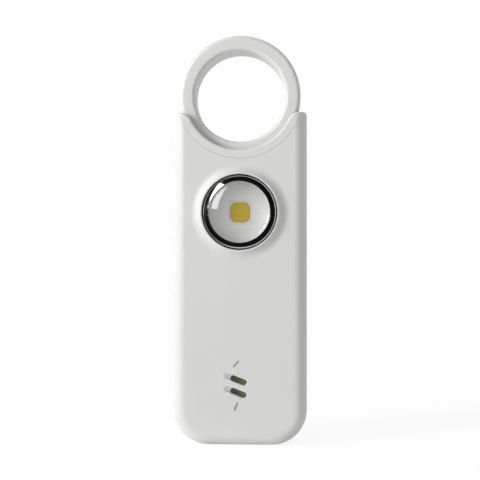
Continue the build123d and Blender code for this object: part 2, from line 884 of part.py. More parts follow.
# Key switch on the back of the board, with its plunger held down
with BuildPart() as switch_case:
    with BuildSketch(Plane.XY.offset(-switch_top)):
        with Locations((0, switch_middle)):
            Rectangle(switch_width, switch_depth)
    extrude(amount=-switch_height)
    with BuildSketch(Plane.XY.offset(-switch_top)):
        with Locations((0, switch_middle)):
            Rectangle(plunger_width + 2 * fit, plunger_depth + 2 * fit)
    extrude(amount=-plunger_well, mode=Mode.SUBTRACT)
switch_case.part.label = "switch_case"
export_step(switch_case.part, "parts/switch_case.step")

with BuildPart() as switch_plunger:
    with BuildSketch(Plane.XY.offset(plunger_top)):
        with Locations((0, switch_middle)):
            Rectangle(plunger_width, plunger_depth)
    extrude(amount=-plunger_length)
switch_plunger.part.label = "switch_plunger"
export_step(switch_plunger.part, "parts/switch_plunger.step")


# Step-up transformer: a drum core and its winding
with BuildPart() as transformer_core:
    with BuildSketch(at_depth(board_back + core_height)):
        with Locations(transformer_centre):
            Circle(core_neck)
    extrude(amount=core_height)
    with BuildSketch(at_depth(board_back + core_flange)):
        with Locations(transformer_centre):
            Circle(core_radius)
    extrude(amount=core_flange)
    with BuildSketch(at_depth(board_back + core_height)):
        with Locations(transformer_centre):
            Circle(core_radius)
    extrude(amount=core_flange)
transformer_core.part.label = "transformer_core"
export_step(transformer_core.part, "parts/transformer_core.step")

with BuildPart() as transformer_winding:
    with BuildSketch(at_depth(board_back + core_height - core_flange - seam)):
        with Locations(transformer_centre):
            Circle(winding_radius)
            Circle(core_neck + seam, mode=Mode.SUBTRACT)
    extrude(amount=core_height - 2 * core_flange - 2 * seam)
transformer_winding.part.label = "transformer_winding"
export_step(transformer_winding.part, "parts/transformer_winding.step")


# Can capacitor on its square base
with BuildPart() as smoothing_capacitor:
    with BuildSketch(at_depth(board_back + capacitor_base_thickness)):
        with Locations(capacitor_centre):
            Rectangle(capacitor_base, capacitor_base)
    extrude(amount=capacitor_base_thickness)
    with BuildSketch(at_depth(board_back + capacitor_height)):
        with Locations(capacitor_centre):
            Circle(capacitor_radius)
    extrude(amount=capacitor_height - capacitor_base_thickness)
    fillet(smoothing_capacitor.faces().sort_by(Axis.Y)[-1].edges(), capacitor_round)
smoothing_capacitor.part.label = "smoothing_capacitor"
export_step(smoothing_capacitor.part, "parts/smoothing_capacitor.step")


# Driver chip with a row of pins at each side
with BuildPart() as control_chip:
    with BuildSketch(at_depth(board_back + chip_height)):
        with Locations((0, -row_drop)):
            Rectangle(chip_length, chip_width)
    extrude(amount=chip_height - chip_stand)
    with BuildSketch(at_depth(board_back + pin_thickness)):
        for side in (-1, 1):
            with Locations((0, -row_drop + side * (chip_width + pin_reach) / 2)):
                with GridLocations(pin_pitch, 0, chip_pins, 1):
                    Rectangle(pin_width, pin_reach + 2 * pin_width)
    extrude(amount=pin_thickness)
control_chip.part.label = "control_chip"
export_step(control_chip.part, "parts/control_chip.step")


# Small resistors and capacitors in two blocks, one at each side of the switch
small_part_x = (switch_width + small_part_pitch) / 2 + small_part_gap
small_part_z = -(switch_top + small_part_length + fit)
with BuildPart() as board_components:
    with BuildSketch(at_depth(board_back + small_part_height)):
        with Locations((-small_part_x, small_part_z), (small_part_x, small_part_z)):
            with GridLocations(small_part_pitch, small_part_length + row_gap / 2, 2, small_part_rows):
                Rectangle(small_part_width, small_part_length)
    extrude(amount=small_part_height)
board_components.part.label = "board_components"
export_step(board_components.part, "parts/board_components.step")


def screw(places, seat, head, head_thickness, shank, length):
    """Pan-head screws whose heads sit on the plane at depth seat and drive forwards."""
    with BuildPart() as screws:
        with BuildSketch(at_depth(seat)):
            with Locations(*places):
                Circle(shank)
        extrude(amount=length)
        with BuildSketch(at_depth(seat + head_thickness)):
            with Locations(*places):
                Circle(head)
        extrude(amount=head_thickness)
        with BuildSketch(at_depth(seat + head_thickness)):
            with Locations(*places):
                Rectangle(recess_length, recess_width)
                Rectangle(recess_width, recess_length)
        extrude(amount=recess_depth, mode=Mode.SUBTRACT)
    return screws.part


case_screws = screw(
    case_screw_places, screw_seat, screw_head, screw_head_thickness, screw_radius, screw_length
)
case_screws.label = "case_screws"
export_step(case_screws, "parts/case_screws.step")

board_screws = screw(
    board_screw_places,
    board_back,
    board_screw_head,
    board_screw_head_thickness,
    board_screw_radius,
    board_screw_length,
)
board_screws.label = "board_screws"
export_step(board_screws, "parts/board_screws.step")
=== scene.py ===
# %% [markdown]
# # A personal safety alarm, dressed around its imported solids
#
# The alarm is a slim light-grey casing with a finger ring at its top, a lamp behind a clear
# lens and a siren behind two slots. Pulling the ring draws a flat key out of a switch, and
# the siren sounds. The solids come from the CAD model and stay where they are. This script
# gives each one its finish, swaps a few for finer meshes, and sets up a small photo studio.
# Everything is in metres: X to the right, Y to the back, Z up, zero at the finger hole.

import math

import bmesh
import bpy
from mathutils import Matrix, Vector


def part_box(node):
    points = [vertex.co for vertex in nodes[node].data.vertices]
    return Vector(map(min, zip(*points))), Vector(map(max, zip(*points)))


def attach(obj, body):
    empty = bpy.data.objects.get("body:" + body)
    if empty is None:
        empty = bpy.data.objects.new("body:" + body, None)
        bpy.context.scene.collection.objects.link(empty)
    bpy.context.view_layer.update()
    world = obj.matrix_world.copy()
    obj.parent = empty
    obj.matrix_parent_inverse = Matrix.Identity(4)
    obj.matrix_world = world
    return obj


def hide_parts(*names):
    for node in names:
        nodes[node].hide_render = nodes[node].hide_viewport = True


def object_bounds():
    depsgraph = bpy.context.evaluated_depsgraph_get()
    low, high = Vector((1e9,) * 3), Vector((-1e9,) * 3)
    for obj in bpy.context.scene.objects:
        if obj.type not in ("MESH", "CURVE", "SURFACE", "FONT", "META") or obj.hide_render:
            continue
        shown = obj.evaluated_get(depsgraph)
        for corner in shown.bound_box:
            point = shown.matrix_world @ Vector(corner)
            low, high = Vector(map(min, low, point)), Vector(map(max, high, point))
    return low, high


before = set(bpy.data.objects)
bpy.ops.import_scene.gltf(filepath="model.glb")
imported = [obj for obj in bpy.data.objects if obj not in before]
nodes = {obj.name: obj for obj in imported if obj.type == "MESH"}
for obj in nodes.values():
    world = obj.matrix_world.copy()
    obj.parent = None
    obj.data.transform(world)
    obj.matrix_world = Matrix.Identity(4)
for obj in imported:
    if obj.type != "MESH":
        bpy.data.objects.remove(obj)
cad_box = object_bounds()
scene = bpy.context.scene


def rounded(place):
    """A place in metres as short numbers, to print."""
    return [round(v, 4) for v in place]


def added(name, data):
    """A new object in the scene, made from a mesh, a lamp or a camera."""
    piece = bpy.data.objects.new(name, data)
    scene.collection.objects.link(piece)
    return piece


print(len(nodes), "nodes in a box from", rounded(cad_box[0]), "to", rounded(cad_box[1]))

# %% [markdown]
# ## Camera
#
# The photograph is a straight front view from about a quarter of a metre, taken a few degrees
# from the right. A wider lens would have to stand nearer, and the lamp would seem to bulge,
# so a long lens is used. Its length was worked out from the casing's width in the picture.

# %% Camera
MM = 0.001
CAMERA_DISTANCE = 270 * MM
CAMERA_TURN = math.radians(3.0)
AIM = Vector((-0.24, 0, -38.0)) * MM
SENSOR_WIDTH, LENS_LENGTH = 36, 75.5
NEAR_CLIP, FAR_CLIP = 0.02, 20

camera_data = bpy.data.cameras.new("camera")
camera_data.sensor_width = SENSOR_WIDTH
camera_data.lens = LENS_LENGTH
camera_data.clip_start, camera_data.clip_end = NEAR_CLIP, FAR_CLIP
camera = added("camera", camera_data)
toward_camera = Vector((math.sin(CAMERA_TURN), -math.cos(CAMERA_TURN), 0))
camera.location = AIM + toward_camera * CAMERA_DISTANCE
camera.rotation_euler = (math.radians(90), 0, CAMERA_TURN)
scene.camera = camera
print("camera at", rounded(camera.location))

# %% [markdown]
# ## Node helpers
#
# Every finish below is a small node tree, built from nothing, so that no standard setting
# slips in. Helpers keep that short: they empty a tree, add a node with its sockets set, and
# join sockets in pairs.

# %% Node helpers
def emptied(owner):
    """The owner's node tree, with nothing in it."""
    owner.use_nodes = True
    owner.node_tree.nodes.clear()
    return owner.node_tree


def add_node(tree, kind, **values):
    """A new node with some input sockets set by name."""
    node = tree.nodes.new(kind)
    for name, value in values.items():
        node.inputs[name.replace("_", " ")].default_value = value
    return node


def join(tree, *ends):
    """Links sockets in pairs: from, to, from, to."""
    for source, target in zip(ends[::2], ends[1::2]):
        tree.links.new(source, target)


def grey(level):
    """An opaque grey."""
    return (level, level, level, 1)


# %% [markdown]
# ## World
#
# The photograph has white paper below and all round. Paper as bright as that would flood the
# alarm with light, and its shadows would go. So the world is white only to the rays that look
# at it, straight or through a mirror or glass. The rays that gather light find a softer grey
# there, whose level sets how dark the shadows are.

# %% World
WORLD_FILL = 0.53
WORLD_SEEN = 0.985


def looking_rays(tree):
    """A socket that is 1 for rays that look at a surface and 0 for rays that gather light."""
    path = tree.nodes.new("ShaderNodeLightPath")
    largest = path.outputs["Is Camera Ray"]
    for name in ("Is Glossy Ray", "Is Transmission Ray"):
        step = tree.nodes.new("ShaderNodeMath")
        step.operation = "MAXIMUM"
        join(tree, largest, step.inputs[0], path.outputs[name], step.inputs[1])
        largest = step.outputs[0]
    return largest


world = bpy.data.worlds.new("studio")
scene.world = world
tree = emptied(world)
output = tree.nodes.new("ShaderNodeOutputWorld")
white = add_node(tree, "ShaderNodeBackground", Color=grey(1))
level = add_node(tree, "ShaderNodeMapRange", To_Min=WORLD_FILL, To_Max=WORLD_SEEN)
join(tree, looking_rays(tree), level.inputs["Value"], level.outputs[0], white.inputs["Strength"])
join(tree, white.outputs[0], output.inputs[0])
print("world fill", WORLD_FILL, "seen as", WORLD_SEEN)

# %% [markdown]
# ## Floor
#
# The floor follows the same rule: it glows for the rays that look and is plain paper for the
# rest. With distance it fades into the world's white, so that no horizon shows, while near
# the alarm it still takes a shadow. It lies a hair below the foot, because two faces in one
# plane can't be told apart.

# %% Floor
FLOOR_HALF = 3.0
FLOOR_GLOW = 0.86
FLOOR_DROP = 0.01 * MM
FADE_FROM, FADE_TO = 0.1, 0.4
SHADED_GREY, PAPER_WHITE = 0.18, 0.95


def flat_piece(name, corners, material):
    """One four-cornered sheet of the studio."""
    mesh = bpy.data.meshes.new(name)
    mesh.from_pydata(corners, [], [(0, 1, 2, 3)])
    mesh.materials.append(material)
    sheet = added(name, mesh)
    return sheet


paper = bpy.data.materials.new("floor_paper")
tree = emptied(paper)
output = tree.nodes.new("ShaderNodeOutputMaterial")
glow = add_node(tree, "ShaderNodeEmission", Strength=FLOOR_GLOW)
shaded = add_node(tree, "ShaderNodeBsdfDiffuse", Color=grey(SHADED_GREY))
glowing_paper = tree.nodes.new("ShaderNodeAddShader")
plain_paper = add_node(tree, "ShaderNodeBsdfDiffuse", Color=grey(PAPER_WHITE))
choice = tree.nodes.new("ShaderNodeMixShader")
join(tree, glow.outputs[0], glowing_paper.inputs[0], shaded.outputs[0], glowing_paper.inputs[1])
join(tree, looking_rays(tree), choice.inputs[0], plain_paper.outputs[0], choice.inputs[1])

far_paper = add_node(tree, "ShaderNodeEmission", Strength=WORLD_SEEN)
reach = tree.nodes.new("ShaderNodeVectorMath")
reach.operation = "LENGTH"
fade = add_node(tree, "ShaderNodeMapRange", From_Min=FADE_FROM, From_Max=FADE_TO)
fade.interpolation_type = "SMOOTHSTEP"
seen_paper = tree.nodes.new("ShaderNodeMixShader")
join(tree, tree.nodes.new("ShaderNodeTexCoord").outputs["Object"], reach.inputs[0])
join(tree, reach.outputs["Value"], fade.inputs["Value"], fade.outputs[0], seen_paper.inputs[0])
join(tree, glowing_paper.outputs[0], seen_paper.inputs[1], far_paper.outputs[0], seen_paper.inputs[2])
join(tree, seen_paper.outputs[0], choice.inputs[2], choice.outputs[0], output.inputs[0])

floor_z = cad_box[0].z - FLOOR_DROP
floor_corners = [(-1, -1), (1, -1), (1, 1), (-1, 1)]
flat_piece("floor", [(x * FLOOR_HALF, y * FLOOR_HALF, floor_z) for x, y in floor_corners], paper)
print("floor at", round(floor_z, 5))

# %% [markdown]
# ## Lamp
#
# One large soft lamp stands at the left and in front, where the shadow beside the chrome ring
# says that it was. A sun or a point would draw hard edges, so it is an area lamp, and it
# stands well back, so that the foot gets nearly as much of it as the ring. It is kept out of
# reflections, because it would lie across the black band of the chrome.

# %% Lamp
LAMP_DIRECTION = Vector((-0.83, -0.48, 0.18)).normalized()
LAMP_DISTANCE = 1.2
SOFTBOX_WIDTH, SOFTBOX_HEIGHT = 0.4, 0.65
SOFTBOX_POWER = 14.1

softbox = bpy.data.lights.new("softbox", "AREA")
softbox.shape = "RECTANGLE"
softbox.size, softbox.size_y = SOFTBOX_WIDTH, SOFTBOX_HEIGHT
softbox.energy = SOFTBOX_POWER
lamp = added("softbox", softbox)
lamp.visible_glossy = False
lamp.location = AIM + LAMP_DIRECTION * LAMP_DISTANCE
lamp.rotation_euler = LAMP_DIRECTION.to_track_quat("Z", "Y").to_euler()
scene.view_settings.view_transform = "Standard"
print("lamp at", rounded(lamp.location))

# %% [markdown]
# ## Dark cards
#
# Chrome shows only what stands in front of it, and in a white room the lamp's ring would
# vanish. Two cards of black velvet, one behind the camera and one on the table, give it the
# black band of the photograph. Only reflections see them, so they take no light away and
# stand in no view.

# %% Dark cards
CARD_HALF = 1.6
CARD_Y = -0.5
TABLE_CARD_Y = -0.03
TABLE_CARD_LIFT = 1 * MM
VELVET_BLACK = 0.008


def plain_material(name, kind, **values):
    """A material with one shader and nothing else."""
    material = bpy.data.materials.new(name)
    tree = emptied(material)
    output = tree.nodes.new("ShaderNodeOutputMaterial")
    join(tree, add_node(tree, kind, **values).outputs[0], output.inputs[0])
    return material


def mirrored_sheet(name, corners, material):
    """A sheet of the studio that is seen in reflections alone."""
    sheet = flat_piece(name, corners, material)
    for ray in ("camera", "diffuse", "transmission", "shadow", "volume_scatter"):
        setattr(sheet, "visible_" + ray, False)
    print(name, "centred on", rounded(sum(map(Vector, corners), Vector()) / len(corners)))


velvet = plain_material("card_velvet", "ShaderNodeBsdfDiffuse", Color=grey(VELVET_BLACK))
card_corners = [(-1, -1), (-1, 1), (1, 1), (1, -1)]
mirrored_sheet(
    "dark_card",
    [(camera.location.x + x * CARD_HALF, CARD_Y, AIM.z + z * CARD_HALF) for x, z in card_corners],
    velvet,
)
table_card_corners = [(-1, TABLE_CARD_Y), (-1, CARD_Y), (1, CARD_Y), (1, TABLE_CARD_Y)]
mirrored_sheet(
    "table_card",
    [(x * CARD_HALF, y, floor_z + TABLE_CARD_LIFT) for x, y in table_card_corners],
    velvet,
)

# %% [markdown]
# ## Bright strip
#
# The slanted highlight at the upper left of the lens mirrors something long and bright beside
# the camera. A glowing strip, placed where the mirror law sends a look at that spot, gives
# the same image. Its tilt is counted from straight in front, its turn says to which side it
# stands, and its lean slants it. Only reflections see it too.

# %% Bright strip
STRIP_TILT, STRIP_TURN, STRIP_LEAN = 53, 146, 14
STRIP_MIDDLE_Z = -30 * MM
STRIP_DISTANCE = 0.35
STRIP_WIDE, STRIP_LONG = 0.1, 0.26
STRIP_GLOW = 9.0

tilt, turn = math.radians(STRIP_TILT), math.radians(STRIP_TURN)
sideways = math.sin(tilt)
towards_strip = Vector((sideways * math.cos(turn), -math.cos(tilt), sideways * math.sin(turn)))
along = Vector((-math.sin(turn), 0, math.cos(turn)))
along.rotate(Matrix.Rotation(math.radians(STRIP_LEAN), 3, towards_strip))
across = towards_strip.cross(along)
centre = Vector((0, 0, STRIP_MIDDLE_Z)) + towards_strip * STRIP_DISTANCE
mirrored_sheet(
    "bright_strip",
    [centre + along * a * STRIP_LONG / 2 + across * b * STRIP_WIDE / 2 for a, b in card_corners],
    plain_material("strip_silk", "ShaderNodeEmission", Strength=STRIP_GLOW),
)

# %% [markdown]
# ## A recipe for finishes
#
# Close up no skin is one flat tone: its grain scatters light, faint marks shift its shine,
# and a little of its colour drifts. The recipe is one Principled shader with three noises on
# Object coordinates, each at its real size, so the grain keeps its scale on a large shell
# and on a small ring alike.

# %% Finish recipe
NOISE_LOW, NOISE_HIGH = 0.3, 0.7


def finish(name, colour, roughness, metallic=0.0):
    """A material with one Principled shader, and the tree, shader and coordinates to add to."""
    material = bpy.data.materials.new(name)
    tree = emptied(material)
    output = tree.nodes.new("ShaderNodeOutputMaterial")
    shader = add_node(
        tree, "ShaderNodeBsdfPrincipled", Base_Color=(*colour, 1), Roughness=roughness, Metallic=metallic
    )
    place = tree.nodes.new("ShaderNodeTexCoord").outputs["Object"]
    join(tree, shader.outputs[0], output.inputs[0])
    print("finish", name, "of roughness", roughness)
    return material, tree, shader, place


def noise(tree, place, size, detail=2.0):
    """A noise whose bumps are about size metres across."""
    node = add_node(tree, "ShaderNodeTexNoise", Scale=1 / size, Detail=detail)
    join(tree, place, node.inputs["Vector"])
    return node.outputs["Fac"]


def vary(tree, shader, place, colour, drift, size):
    """Lets the base colour drift by a share of itself over patches of one size."""
    blend = tree.nodes.new("ShaderNodeMix")
    blend.data_type = "RGBA"
    blend.inputs["A"].default_value = (*[c * (1 - drift) for c in colour], 1)
    blend.inputs["B"].default_value = (*[min(c * (1 + drift), 1) for c in colour], 1)
    join(tree, noise(tree, place, size), blend.inputs["Factor"])
    join(tree, blend.outputs["Result"], shader.inputs["Base Color"])


def vary_shine(tree, shader, place, low, high, size):
    """Lets the roughness wander between two values over patches of one size."""
    span = add_node(
        tree, "ShaderNodeMapRange", From_Min=NOISE_LOW, From_Max=NOISE_HIGH, To_Min=low, To_Max=high
    )
    join(tree, noise(tree, place, size), span.inputs["Value"])
    join(tree, span.outputs[0], shader.inputs["Roughness"])


def grain(tree, shader, place, size, height, strength=1.0):
    """A fine bump: grains of one size, and of one height in metres."""
    bump = add_node(tree, "ShaderNodeBump", Strength=strength, Distance=height)
    join(tree, noise(tree, place, size, 3.0), bump.inputs["Height"])
    join(tree, bump.outputs[0], shader.inputs["Normal"])


# %% [markdown]
# ## Moulded plastic
#
# The casing, the ring and the cell cover are one light-grey ABS with the fine spark-eroded
# grain of its mould and broad flow marks in its shine. The black holder, the switch and the
# rubber seals are moulded too, so they take the same recipe with other values.

# %% Moulded plastic
DRIFT_PATCH, SHINE_PATCH, SHINE_DRIFT = 9 * MM, 5 * MM, 0.05


def moulded(name, colour, roughness, grain_size=0.35 * MM, grain_height=0.006 * MM, drift=0.012):
    """Grained plastic or rubber of one colour; drift is the share that the colour wanders."""
    material, tree, shader, place = finish(name, colour, roughness)
    vary(tree, shader, place, colour, drift, DRIFT_PATCH)
    vary_shine(tree, shader, place, roughness - SHINE_DRIFT, roughness + SHINE_DRIFT, SHINE_PATCH)
    grain(tree, shader, place, grain_size, grain_height)
    return material


casing = moulded("casing", (0.64, 0.64, 0.632), 0.42)
holder_black = moulded("holder_black", (0.03, 0.03, 0.032), 0.5)
switch_black = moulded("switch_black", (0.018, 0.018, 0.02), 0.4, grain_size=0.2 * MM)
plunger_red = moulded("plunger_red", (0.45, 0.03, 0.02), 0.35, grain_size=0.2 * MM)
seal_rubber = moulded(
    "seal_rubber", (0.025, 0.025, 0.025), 0.7, grain_size=0.15 * MM, grain_height=0.01 * MM, drift=0.1
)

# %% [markdown]
# ## Metals
#
# The lamp's ring is chromed plastic, the cells are drawn steel, the screws are zinc-plated and
# the siren's disc is brass. Fine scratches all run one way on drawn metal, so the noise there
# is stretched by a Mapping node. Plating and enamelled wire have only a faint waviness under
# their gloss. The brass is dull with age, and such a skin is partly oxide, so it is made only
# partly of metal.

# %% Metals
PLATED_LOW_SHARE, PLATED_HIGH_SHARE, PLATED_PATCH, PLATED_BUMP = 0.7, 1.4, 1.5 * MM, 0.6
TARNISH, DRAWN_SMOOTHER, DRAWN_ROUGHER = 0.08, 0.08, 0.1


def plated(name, colour, roughness, wave=3 * MM, height=0.004 * MM):
    """A bright plated metal with a slow wave in it."""
    material, tree, shader, place = finish(name, colour, roughness, 1.0)
    low, high = roughness * PLATED_LOW_SHARE, roughness * PLATED_HIGH_SHARE
    vary_shine(tree, shader, place, low, high, PLATED_PATCH)
    grain(tree, shader, place, wave, height, PLATED_BUMP)
    return material


def drawn(name, colour, roughness, stretch=(1, 1, 40), size=3 * MM, height=0.004 * MM, metal=1.0):
    """A metal with scratches along one direction; tarnish lowers its metal share."""
    material, tree, shader, place = finish(name, colour, roughness, metal)
    mapping = add_node(tree, "ShaderNodeMapping", Scale=stretch)
    join(tree, place, mapping.inputs["Vector"])
    stretched = mapping.outputs[0]
    vary(tree, shader, stretched, colour, TARNISH, size)
    vary_shine(tree, shader, stretched, roughness - DRAWN_SMOOTHER, roughness + DRAWN_ROUGHER, size)
    grain(tree, shader, stretched, size, height)
    return material


chrome = plated("chrome_plate", (0.82, 0.82, 0.83), 0.07)
cell_steel = drawn("cell_steel", (0.56, 0.55, 0.53), 0.3, stretch=(2, 2, 40))
contact_steel = drawn("contact_steel", (0.7, 0.66, 0.56), 0.28, stretch=(40, 1, 1))
screw_steel = drawn("screw_steel", (0.55, 0.56, 0.58), 0.32, stretch=(8, 1, 8), size=1 * MM)
disc_brass = drawn(
    "disc_brass", (0.465, 0.485, 0.275), 0.5, stretch=(1, 1, 30), size=2 * MM, metal=0.35
)
copper_wire = plated("copper_wire", (0.72, 0.28, 0.12), 0.28, wave=0.6 * MM)
can_aluminium = drawn("can_aluminium", (0.72, 0.73, 0.74), 0.35, stretch=(1, 30, 1), size=2 * MM)

# %% [markdown]
# ## Lamp finishes
#
# A thick clear lens lies over a white bowl with a yellow-faced LED at its middle. The lens is
# a Principled shader with all its weight on transmission and the index of polycarbonate. Light
# that has to bend through a lens into a bowl arrives slowly in a render. So shadow rays are
# let straight through it and only dimmed, to the level that the bowl has in the photograph.

# %% Lamp finishes
PLASTIC_INDEX, CLEAR_ROUGHNESS, THROUGH_LENS = 1.58, 0.01, 0.38
CLEAR_WAVE, CLEAR_WAVE_HEIGHT, CLEAR_BUMP = 4 * MM, 0.01 * MM, 0.25
PHOSPHOR_YELLOW, PHOSPHOR_GLOSS = (0.5, 0.35, 0.002), 0.05


def clear(name):
    """Clear moulded plastic that throws only a light shadow."""
    material, tree, shader, place = finish(name, (1, 1, 1), CLEAR_ROUGHNESS)
    shader.inputs["Transmission Weight"].default_value = 1.0
    shader.inputs["IOR"].default_value = PLASTIC_INDEX
    grain(tree, shader, place, CLEAR_WAVE, CLEAR_WAVE_HEIGHT, CLEAR_BUMP)
    output = next(n for n in tree.nodes if n.type == "OUTPUT_MATERIAL")
    path = tree.nodes.new("ShaderNodeLightPath")
    through = add_node(tree, "ShaderNodeBsdfTransparent", Color=grey(THROUGH_LENS))
    choice = tree.nodes.new("ShaderNodeMixShader")
    join(tree, path.outputs["Is Shadow Ray"], choice.inputs[0], shader.outputs[0], choice.inputs[1])
    join(tree, through.outputs[0], choice.inputs[2], choice.outputs[0], output.inputs[0])
    return material


clear_dome = clear("clear_dome")
dish_white = moulded(
    "dish_white", (0.69, 0.69, 0.685), 0.42, grain_size=0.25 * MM, grain_height=0.003 * MM
)
led_housing = moulded(
    "led_housing", (0.68, 0.68, 0.65), 0.4, grain_size=0.15 * MM, grain_height=0.004 * MM
)

phosphor, tree, shader, place = finish("phosphor", PHOSPHOR_YELLOW, 0.7)
vary(tree, shader, place, PHOSPHOR_YELLOW, drift=0.2, size=0.5 * MM)
grain(tree, shader, place, size=0.12 * MM, height=0.02 * MM)
shader.inputs["Specular IOR Level"].default_value = PHOSPHOR_GLOSS

# %% [markdown]
# ## Electronics
#
# The works are hidden until the casing is opened, but each part still gets its own finish: a
# green board with a woven glass grain and copper tracks under the lacquer, a dull ferrite
# core, a black epoxy chip and a chalky ceramic on the siren's disc.

# %% Electronics
TRACK_LENGTH, TRACK_ROW, TRACK_WIDTH, TRACK_BLUR = 4.3, 0.9, 0.1, 0.1
TRACK_SHIFT, SHIFT_EVERY, TRACK_STRETCH, STRETCH_EVERY = 0.37, 2, 2.3, 3
PAD_SPACING, PAD_RADIUS, PAD_SPREAD, PAD_EDGE_SHARE = 2.6, 0.3, 0.8, 1.1
LACQUER, COPPER_UNDER = (0.014, 0.115, 0.042, 1), (0.035, 0.21, 0.08, 1)
SOLDER = (0.55, 0.55, 0.5, 1)

board_green, tree, shader, place = finish("board_green", LACQUER[:3], 0.35)
laid = add_node(tree, "ShaderNodeMapping", Rotation=(math.radians(90), 0, 0))
tracks = add_node(
    tree, "ShaderNodeTexBrick", Scale=1 / MM, Color1=LACQUER, Color2=LACQUER, Mortar=COPPER_UNDER,
    Mortar_Size=TRACK_WIDTH, Mortar_Smooth=TRACK_BLUR, Brick_Width=TRACK_LENGTH, Row_Height=TRACK_ROW,
)
tracks.offset, tracks.offset_frequency = TRACK_SHIFT, SHIFT_EVERY
tracks.squash, tracks.squash_frequency = TRACK_STRETCH, STRETCH_EVERY
pads = add_node(tree, "ShaderNodeTexVoronoi", Scale=1 / (PAD_SPACING * MM), Randomness=PAD_SPREAD)
pads.voronoi_dimensions = "2D"
pad_edge = PAD_RADIUS / PAD_SPACING
inside_pad = add_node(
    tree, "ShaderNodeMapRange", From_Min=pad_edge, From_Max=PAD_EDGE_SHARE * pad_edge,
    To_Min=1.0, To_Max=0.0,
)
padded = tree.nodes.new("ShaderNodeMix")
padded.data_type = "RGBA"
padded.inputs["B"].default_value = SOLDER
join(tree, place, laid.inputs["Vector"], laid.outputs[0], tracks.inputs["Vector"])
join(tree, laid.outputs[0], pads.inputs["Vector"], pads.outputs["Distance"], inside_pad.inputs["Value"])
join(tree, inside_pad.outputs[0], padded.inputs["Factor"], tracks.outputs["Color"], padded.inputs["A"])
join(tree, padded.outputs["Result"], shader.inputs["Base Color"])
grain(tree, shader, place, size=0.4 * MM, height=0.004 * MM)

# After the roughness come the grain's size, its height and the colour's drift.
ferrite = moulded("ferrite", (0.045, 0.042, 0.04), 0.6, 0.1 * MM, 0.012 * MM, 0.15)
chip_black = moulded("chip_black", (0.022, 0.022, 0.024), 0.5, 0.08 * MM, 0.006 * MM, 0.1)
piezo_ceramic = moulded("piezo_ceramic", (0.66, 0.62, 0.52), 0.45, 0.12 * MM, 0.004 * MM, 0.04)
lead_red = moulded("lead_red", (0.5, 0.02, 0.015), 0.35, 0.3 * MM)
lead_black = moulded("lead_black", (0.02, 0.02, 0.02), 0.35, 0.3 * MM)
small_parts = moulded("small_parts", (0.16, 0.13, 0.1), 0.45, 0.1 * MM, 0.006 * MM, 0.1)

# %% [markdown]
# ## Which finish goes where
#
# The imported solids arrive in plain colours. A CAD piece keeps its mesh, and only its material
# slot is filled anew.

# %% Dress the solids
wearers = {
    casing: "front_shell rear_shell cradle_collar pull_ring battery_cover",
    chrome: "lamp_bezel",
    clear_dome: "lamp_lens",
    seal_rubber: "lens_gasket siren_gasket battery_cover_seal",
    dish_white: "lamp_reflector",
    led_housing: "led_package",
    phosphor: "led_phosphor",
    board_green: "main_board",
    disc_brass: "siren_disc",
    piezo_ceramic: "siren_ceramic",
    lead_red: "siren_lead_red",
    lead_black: "siren_lead_black",
    holder_black: "battery_holder",
    cell_steel: "coin_cell_front coin_cell_rear",
    contact_steel: "negative_contact positive_contact",
    switch_black: "switch_case",
    plunger_red: "switch_plunger",
    ferrite: "transformer_core",
    copper_wire: "transformer_winding",
    can_aluminium: "smoothing_capacitor",
    chip_black: "control_chip",
    small_parts: "board_components",
    screw_steel: "case_screws board_screws",
}
for material, names in wearers.items():
    for name in names.split():
        nodes[name].data.materials.clear()
        nodes[name].data.materials.append(material)
bare = sorted(set(nodes) - set(" ".join(wearers.values()).split()))
print("dressed", len(nodes) - len(bare), "nodes, left bare:", bare)

# %% [markdown]
# ## Pieces that follow a rule
#
# Several pieces are turned shapes or sets of one small part: the lamp's chrome ring, its lens,
# the screws, the resistors. Geometry Nodes suit both. One tree turns a drawn profile round an
# axis, as a lathe does, and one sets a small part at each point of a list. Each has named
# inputs, and its last steps make instances real and give the finish.

# %% Tree helpers
def new_tree(title, **inputs):
    """An empty tree with geometry in and out and further named inputs; also its two ends."""
    tree = bpy.data.node_groups.new(title, "GeometryNodeTree")
    tree.interface.new_socket("Geometry", in_out="INPUT", socket_type="NodeSocketGeometry")
    for name, kind in inputs.items():
        label, socket_type = name.replace("_", " "), "NodeSocket" + kind
        tree.interface.new_socket(label, in_out="INPUT", socket_type=socket_type)
    tree.interface.new_socket("Geometry", in_out="OUTPUT", socket_type="NodeSocketGeometry")
    return tree, tree.nodes.new("NodeGroupInput").outputs, tree.nodes.new("NodeGroupOutput").inputs


def close_tree(tree, last, material, result):
    """Ends a tree: real geometry with its finish."""
    real = tree.nodes.new("GeometryNodeRealizeInstances")
    painted = tree.nodes.new("GeometryNodeSetMaterial")
    join(tree, last, real.inputs[0], real.outputs[0], painted.inputs["Geometry"])
    join(tree, material, painted.inputs["Material"], painted.outputs[0], result["Geometry"])
    named = [socket.name for socket in tree.interface.items_tree if socket.in_out == "INPUT"]
    print("tree", tree.name, "takes", named)


# %% [markdown]
# ## Plain pieces
#
# A finished piece has to stand alone, without a tree or another piece that it depends on. So
# a tree or a cut is set on a drawn piece as a modifier, its result is kept as a plain mesh,
# and the modifier goes. Then the housing is made to carry the piece, and the solid that it
# stands for is hidden.

# %% Plain pieces
RUN_CORNER = 35


def new_object(name, vertices, edges=(), faces=()):
    """An object with a mesh from plain lists."""
    mesh = bpy.data.meshes.new(name)
    mesh.from_pydata([tuple(v) for v in vertices], list(edges), list(faces))
    return added(name, mesh)


